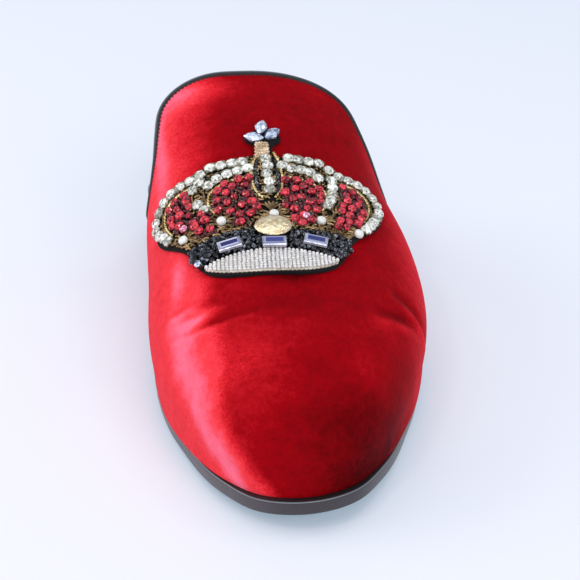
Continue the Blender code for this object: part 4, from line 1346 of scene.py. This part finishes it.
# petals: pointed stones, across, height, turn
petal = {"size": (3.9, 2.45, 2.1), "taper": 0.55, "taperPower": 1.5, "medial": (-3.6, 69.3, 172.0),
         "top": (-0.3, 74.9, 76.0), "lateral": (3.6, 71.4, 42.0)}
marquise = turned(12, [(0.86, -0.5, 0), (1.0, 0.0, 0), (0.72, 0.34, 15), (0.36, 0.48, 15)], True)
marquise[0][:, 1] *= 1 - petal["taper"] * np.abs(marquise[0][:, 0]) ** petal["taperPower"]
for word in ("medial", "top", "lateral"):
    w, h, turn = petal[word]
    frames = crownFrame([(w, h)], crown["chainLift"], turn)
    addPile(f"petal_{word}", "crown_crystal", [f"crown_petal_{word}"], (paleBlue,),
            (marquise, frames, petal["size"], 0))
print("stones, plaque, cords and petals done")

# red panels: stones thrown in, dark beads between them, bullion leaves round white cabochons
panels = [
    [(-6.0, 47.0), (-10.5, 46.6), (-15.0, 45.0), (-19.0, 42.2), (-20.0, 38.5), (-19.4, 34.6), (-18.0, 31.0),
     (-14.2, 30.0), (-12.6, 27.5), (-12.6, 22.2), (-8.0, 21.8), (-7.2, 26.6), (-4.4, 28.6), (-3.6, 33.0),
     (-4.8, 37.0), (-6.2, 41.0)],
    [(6.4, 47.8), (10.5, 47.2), (15.0, 45.6), (18.8, 42.6), (19.6, 38.0), (18.8, 33.0), (16.4, 29.0),
     (14.6, 27.5), (14.6, 24.0), (13.0, 21.8), (8.6, 22.0), (8.2, 26.0), (6.0, 29.5), (5.2, 34.0),
     (5.6, 38.0), (6.6, 42.0)],
    [(-27.8, 47.0), (-31.0, 47.4), (-34.4, 46.0), (-36.2, 42.6), (-36.2, 38.0), (-34.8, 33.4), (-32.6, 28.6),
     (-28.4, 27.4), (-25.0, 30.4), (-26.6, 35.0), (-27.6, 40.0), (-28.0, 44.0)],
    [(26.8, 47.0), (31.0, 46.8), (34.2, 45.0), (36.0, 42.0), (36.2, 38.0), (35.2, 33.4), (33.4, 28.6),
     (31.0, 26.0), (28.0, 23.6), (25.0, 21.4), (23.6, 23.0), (25.2, 27.0), (25.2, 31.0), (25.0, 35.0),
     (26.6, 39.0), (27.0, 43.0)],
    [(-25.2, 21.0), (-25.0, 24.4), (-19.0, 23.6), (-18.4, 20.6)],
    [(-24.6, 32.4), (-20.6, 32.8), (-19.6, 29.4), (-21.6, 26.4), (-25.8, 26.6)]]
cabochon = {"size": (1.8, 1.8, 2.1), "lift": 2.6, "clear": 2.1, "smoothDeg": 50}
cabochons = np.array([(1.4, 27.4), (-16.6, 26.2), (18.0, 25.2), (-30.2, 23.8), (31.8, 22.2)])
redStone = {"gap": 3.35, "own": 1.0, "clear": 1.4, "lift": 2.7, "liftSpread": (-0.2, 0.5),
            "radii": (1.5, 1.95), "form": (1.05, 0.95, 1.15), "claw": (0.76, 0.76, 0.9), "tries": 5000}
panelBead = {"gap": 1.3, "own": 0.4, "lift": 2.0, "liftSpread": (0, 0.7), "size": 0.78, "tries": 5000}
# two pale pink stones set among the red ones stand in for their glints: painted glints
pinkGlint = {"spots": [(12.4, 26.0), (-29.6, 28.6)], "turns": (0.0, 40.0), "lift": 3.3, "size": 1.6}

addPile("white_cabochons", "crown_crystal", [], (milk,),
        (dome, crownFrame(cabochons, cabochon["lift"]), cabochon["size"], 0), smooth=cabochon["smoothDeg"])
taken = rounds(cabochons, cabochon["clear"])
stones, beads = [], []
for panel in panels:
    box = (*np.min(panel, 0), *np.max(panel, 0))
    big = fill(within(panel), box, redStone["gap"], redStone["tries"], taken, redStone["own"])
    stones.append(big)
    beads.append(fill(within(panel), box, panelBead["gap"], panelBead["tries"],
                      rounds(big, redStone["clear"]) + taken, panelBead["own"]))
stones, beads = np.concatenate(stones), np.concatenate(beads)
frames = scattered(stones, redStone["lift"], redStone["liftSpread"], 90)
radii = rng.uniform(*redStone["radii"], (len(stones), 1)) * redStone["form"]
addPile("red_stones", "crown_crystal", [], (ruby, garnet), (brilliant, frames, radii, 0),
        (claw, frames, radii * redStone["claw"], 1))
glints = crownFrame(pinkGlint["spots"], pinkGlint["lift"], pinkGlint["turns"])
addPile("painted_glint_stones", "crown_crystal", [], (glintStone,), (brilliant, glints, pinkGlint["size"], 0))
frames = scattered(beads, panelBead["lift"], panelBead["liftSpread"], 180)
addPile("panel_beads", "crown_jet", [], (garnet,), (cutBead, frames, panelBead["size"], 0))
print("red panels:", len(stones), "stones", len(beads), "beads")

# bullion: coils fanned round the cabochons, laid in rows over the jets, thrown where the felt is bare
leaf = {
    "radius": 0.42, "sides": 6, "lobes": 0.25, "ply": 0.7, "lift": 2.0, "edge": 0.8,
    "fan": (-20, 201, 18), "fanOut": 1.9, "fanLong": 4.4, "fanSway": 12, "fanScale": (0.7, 1.1),
    "fanBend": (0.4, 1.0),
    "rows": 4, "rowFrom": 7.6, "rowShift": 0.5, "rowTo": 34.0, "rowStep": 1.75, "rowFoot": 0.2,
    "rowPitch": 1.15, "rowClimb": 0.10, "rowClimbFrom": 20, "rowClear": 2.2, "rowBack": 1.1, "rowTurn": 20,
    "rowSway": 40, "rowLong": 2.4, "rowBend": (0.3, 0.8),
    "curlLong": 3.4, "curlBend": 0.6, "plumeAt": (0.6, 29.2), "plumeTurns": (48, 64, 80, 100, 116, 132),
    "plumeLong": 5.4, "plumeBend": 0.5,
    "bareLow": 19.5, "bareHigh": 58, "bareShare": (0.955, 1.0), "bareBox": (-43, 19, 43, 58), "bareGap": 1.25,
    "bareTries": 9000, "bareBack": 0.8, "bareLong": 2.1, "bareBend": (-0.6, 0.6)}
# curls beside the inner chains: across, height, turn
curls = [(23.0, 28.6, 70), (23.6, 30.6, 100), (25.0, 27.6, 45), (20.4, 29.6, 120), (24.4, 32.4, 80),
         (22.0, 27.2, 60)]
leafPaths = []


def addLeaf(w, h, turn, long, bend):
    c, n = math.cos(math.radians(turn)), math.sin(math.radians(turn))
    bent = (w + long * 0.5 * c - bend * n, h + long * 0.5 * n + bend * c)
    path = np.array([(w, h), bent, (w + long * c, h + long * n)])
    if np.all(np.abs(path[:, 0]) < feltHalf(path[:, 1]) - leaf["edge"]):
        leafPaths.append(path)


for w, h in cabochons:
    for turn in np.arange(*leaf["fan"]):
        c, n = math.cos(math.radians(turn)), math.sin(math.radians(turn))
        addLeaf(w + leaf["fanOut"] * c, h + leaf["fanOut"] * n,
                turn + rng.uniform(-leaf["fanSway"], leaf["fanSway"]),
                leaf["fanLong"] * rng.uniform(*leaf["fanScale"]),
                rng.choice((-1, 1)) * rng.uniform(*leaf["fanBend"]))
for side in (-1, 1):
    turn = leaf["rowTurn"] if side > 0 else 180 - leaf["rowTurn"]
    for row in range(leaf["rows"]):
        for w in np.arange(leaf["rowFrom"] + leaf["rowShift"] * row, leaf["rowTo"], leaf["rowStep"]):
            h = jetHead(w) + leaf["rowFoot"] + leaf["rowPitch"] * row
            h += leaf["rowClimb"] * max(w - leaf["rowClimbFrom"], 0)
            if np.min(np.hypot(*(cabochons - (side * w, h)).T)) > leaf["rowClear"]:
                addLeaf(side * (w - leaf["rowBack"]), h,
                        turn + rng.uniform(-leaf["rowSway"], leaf["rowSway"]),
                        leaf["rowLong"], side * rng.uniform(*leaf["rowBend"]))
for w, h, turn in curls:
    for side in (-1, 1):
        addLeaf(side * w, h, turn if side > 0 else 180 - turn, leaf["curlLong"], side * leaf["curlBend"])
for turn in leaf["plumeTurns"]:
    addLeaf(*leaf["plumeAt"], turn, leaf["plumeLong"], leaf["plumeBend"] * np.sign(90 - turn))
leafPaths += mirrored([
    [(6.6, 54.0), (11.0, 53.0), (16.0, 52.2), (20.6, 50.4), (22.6, 48.6)],
    [(27.2, 49.4), (31.6, 48.9), (35.8, 47.4), (38.6, 43.4), (39.0, 38.0), (37.4, 33.0), (35.4, 28.6)],
    [(22.6, 46.8), (22.4, 42.0), (21.6, 37.0)], [(26.8, 46.0), (26.6, 41.0), (25.4, 36.4), (23.8, 32.6)]])

feltEdge = np.concatenate([felt[:, ::-1], felt[::-1, ::-1] * (-1, 1)])
onFelt = within(feltEdge * leaf["bareShare"])
clear = {"chain": 1.7, "stone": 1.6, "cabochon": 2.2, "bead": 0.9, "leaf": 1.1}
covered = [spot for run in runs.values() for spot in rounds(np.concatenate(run), clear["chain"])]
covered += rounds(np.concatenate([stones, postChain]), clear["stone"])
covered += rounds(cabochons, clear["cabochon"]) + rounds(beads, clear["bead"])
covered += rounds(np.concatenate(leafPaths), clear["leaf"])


def bare(w, h):
    offPlaque = np.hypot(w - plaque["middle"][0], h - plaque["middle"][1]) > plaque["clear"]
    return leaf["bareLow"] < h < leaf["bareHigh"] and not inJets(w, h) and offPlaque and onFelt(w, h)


for w, h in fill(bare, leaf["bareBox"], leaf["bareGap"], leaf["bareTries"], covered):
    addLeaf(w - leaf["bareBack"], h, rng.uniform(0, 180), leaf["bareLong"], rng.choice(leaf["bareBend"]))
bullion = addTube("bullion", leafPaths, leaf["radius"], leaf["sides"], leaf["lobes"], leaf["ply"],
                  leaf["lift"])
wear(bullion, "crown_gold", [], brownGilt)
print("bullion done:", len(leafPaths), "coils")

# dark beads down both sides of the post and between the chains, and one blue stone by the band
postBead = {"size": 0.85, "lift": 2.1, "aside": 3.5, "bow": 0.5, "bowFoot": 38, "bowTall": 19,
            "heights": (38.4, 57.6, 1.5), "chainAside": (7.4, 22.4), "chainHeights": (53.6, 49.6),
            "chainCount": 11}
blueStone = {"spot": (-24.6, 7.6), "lift": 3.0, "turn": 20.0, "size": 1.5}
spots = []
for side in (-1, 1):
    for h in np.arange(*postBead["heights"]):
        bow = postBead["bow"] * math.sin(math.pi * (h - postBead["bowFoot"]) / postBead["bowTall"])
        spots.append((side * (postBead["aside"] + bow), h))
for side in (-1, 1):
    spots += zip(side * np.linspace(*postBead["chainAside"], postBead["chainCount"]),
                 np.linspace(*postBead["chainHeights"], postBead["chainCount"]))
frames = crownFrame(spots, postBead["lift"], rng.uniform(0, 180, len(spots)))
addPile("post_beads", "crown_jet", [], (jet,), (cutBead, frames, postBead["size"], 0))
frames = crownFrame([blueStone["spot"]], blueStone["lift"], blueStone["turn"])
addPile("blue_stone", "crown_crystal", [], (paleBlue,), (brilliant, frames, blueStone["size"], 0))
print("post beads and blue stone done")


# stitches of dark thread in the groove along the binding
def makeStitches():
    run = runOf(edgeAt)
    even = np.arange(binding["stitchEnd"], run[-1] - binding["stitchEnd"], binding["stitchPitch"])

    def along(table):
        return np.stack([np.interp(even, run, table[:, k]) for k in range(3)], -1)

    ahead, out, beyond = (unit3(along(table)) for table in (edgeAlong, edgeOut, edgeBeyond))
    at = along(edgeAt) + out * binding["stitchOut"] + beyond * binding["stitchIn"]
    lean = unit3(ahead + binding["stitchLean"] * beyond)
    size = (binding["stitchLong"] / 2, binding["stitchWide"] / 2, binding["stitchWide"] / 2)
    addPile("binding_stitches", "binding_leather", [], (threadBlack,),
            (bead, (at, np.stack([lean, np.cross(out, lean), out], 1)), size, 0), smooth=band["beadSmooth"])
    print("stitches:", len(even))


threadBlack = leatherFinish("black_thread", (0.006, 0.006, 0.007), 0.55, 3000.0, 0.00004, 0.0)
makeStitches()


# floor, light and camera, in metres
studio = {
    "floor": (0.69, 0.605, 0.605), "floorWide": 6.0, "floorRough": 0.5, "floorSpread": 0.1, "floorCloud": 3.0,
    "glow": (0.42, 0.74, 1.0), "glowStrength": 0.30, "sky": (0.80, 0.89, 1.0), "skyStrength": 0.60,
    "eye": (-0.0523, -0.4231, 0.2668), "aim": (0.0026, -0.045, 0.026), "near": 0.01, "sensor": 36.0,
    "focal": 1210.0 / 580}     # in widths of the picture
# lamps: place, aim, size, power, colour
lamps = {
    "window": ((-1.2, 0.25, 0.70), (0.0, -0.02, 0.03), (0.9, 0.7), 6.0, (1.0, 0.99, 0.98)),
    "overhead": ((-0.2, -0.05, 1.7), (0.0, -0.05, 0.0), (2.0, 2.0), 10.0, (0.98, 0.99, 1.0)),
    "front": ((0.4, -1.6, 0.95), (0.0, -0.15, 0.0), (1.8, 1.2), 16.0, (0.98, 0.99, 1.0)),
    "spark_left": ((-0.55, -0.35, 1.1), (0.0, -0.05, 0.06), (0.12, 0.12), 0.8, (1.0, 1.0, 1.0)),
    "spark_right": ((0.55, 0.15, 1.1), (0.0, -0.05, 0.06), (0.12, 0.12), 0.6, (1.0, 1.0, 1.0))}


def aimed(name, data, place, aim):
    item = bpy.data.objects.new(name, data)
    item.location = place
    item.rotation_euler = (Vector(aim) - Vector(place)).to_track_quat("-Z", "Y").to_euler()
    bpy.context.scene.collection.objects.link(item)
    return item


def makeStudio():
    select()
    bpy.ops.mesh.primitive_plane_add(size=studio["floorWide"], location=(0.0, 0.0, 0.0))
    floor = newest("floor")
    # the floor glows a pale blue, painted light that lifts and tints the shadows
    f = Finish("pale_floor", studio["floor"], studio["floorRough"],
               {"Emission Color": (*studio["glow"], 1.0), "Emission Strength": studio["glowStrength"]})
    f.set("Roughness", studio["floorRough"] + studio["floorSpread"] * f.noise(studio["floorCloud"]))
    floor.data.materials.append(f.material)
    for name, (place, aim, size, power, colour) in lamps.items():
        light = bpy.data.lights.new(name, "AREA")
        light.shape, light.size, light.size_y = "RECTANGLE", *size
        light.energy, light.color = power, colour
        aimed(name, light, place, aim)
    world = bpy.data.worlds.new("studio")
    world.use_nodes = True
    sky = world.node_tree.nodes["Background"].inputs
    sky["Color"].default_value = (*studio["sky"], 1.0)
    sky["Strength"].default_value = studio["skyStrength"]
    bpy.context.scene.world = world
    bpy.context.scene.view_settings.view_transform = "Standard"
    camera = aimed("camera", bpy.data.cameras.new("camera"), studio["eye"], studio["aim"])
    camera.data.sensor_width = studio["sensor"]
    camera.data.lens = studio["sensor"] * studio["focal"]
    camera.data.clip_start = studio["near"]
    bpy.context.scene.camera = camera
    print("studio done")


makeStudio()
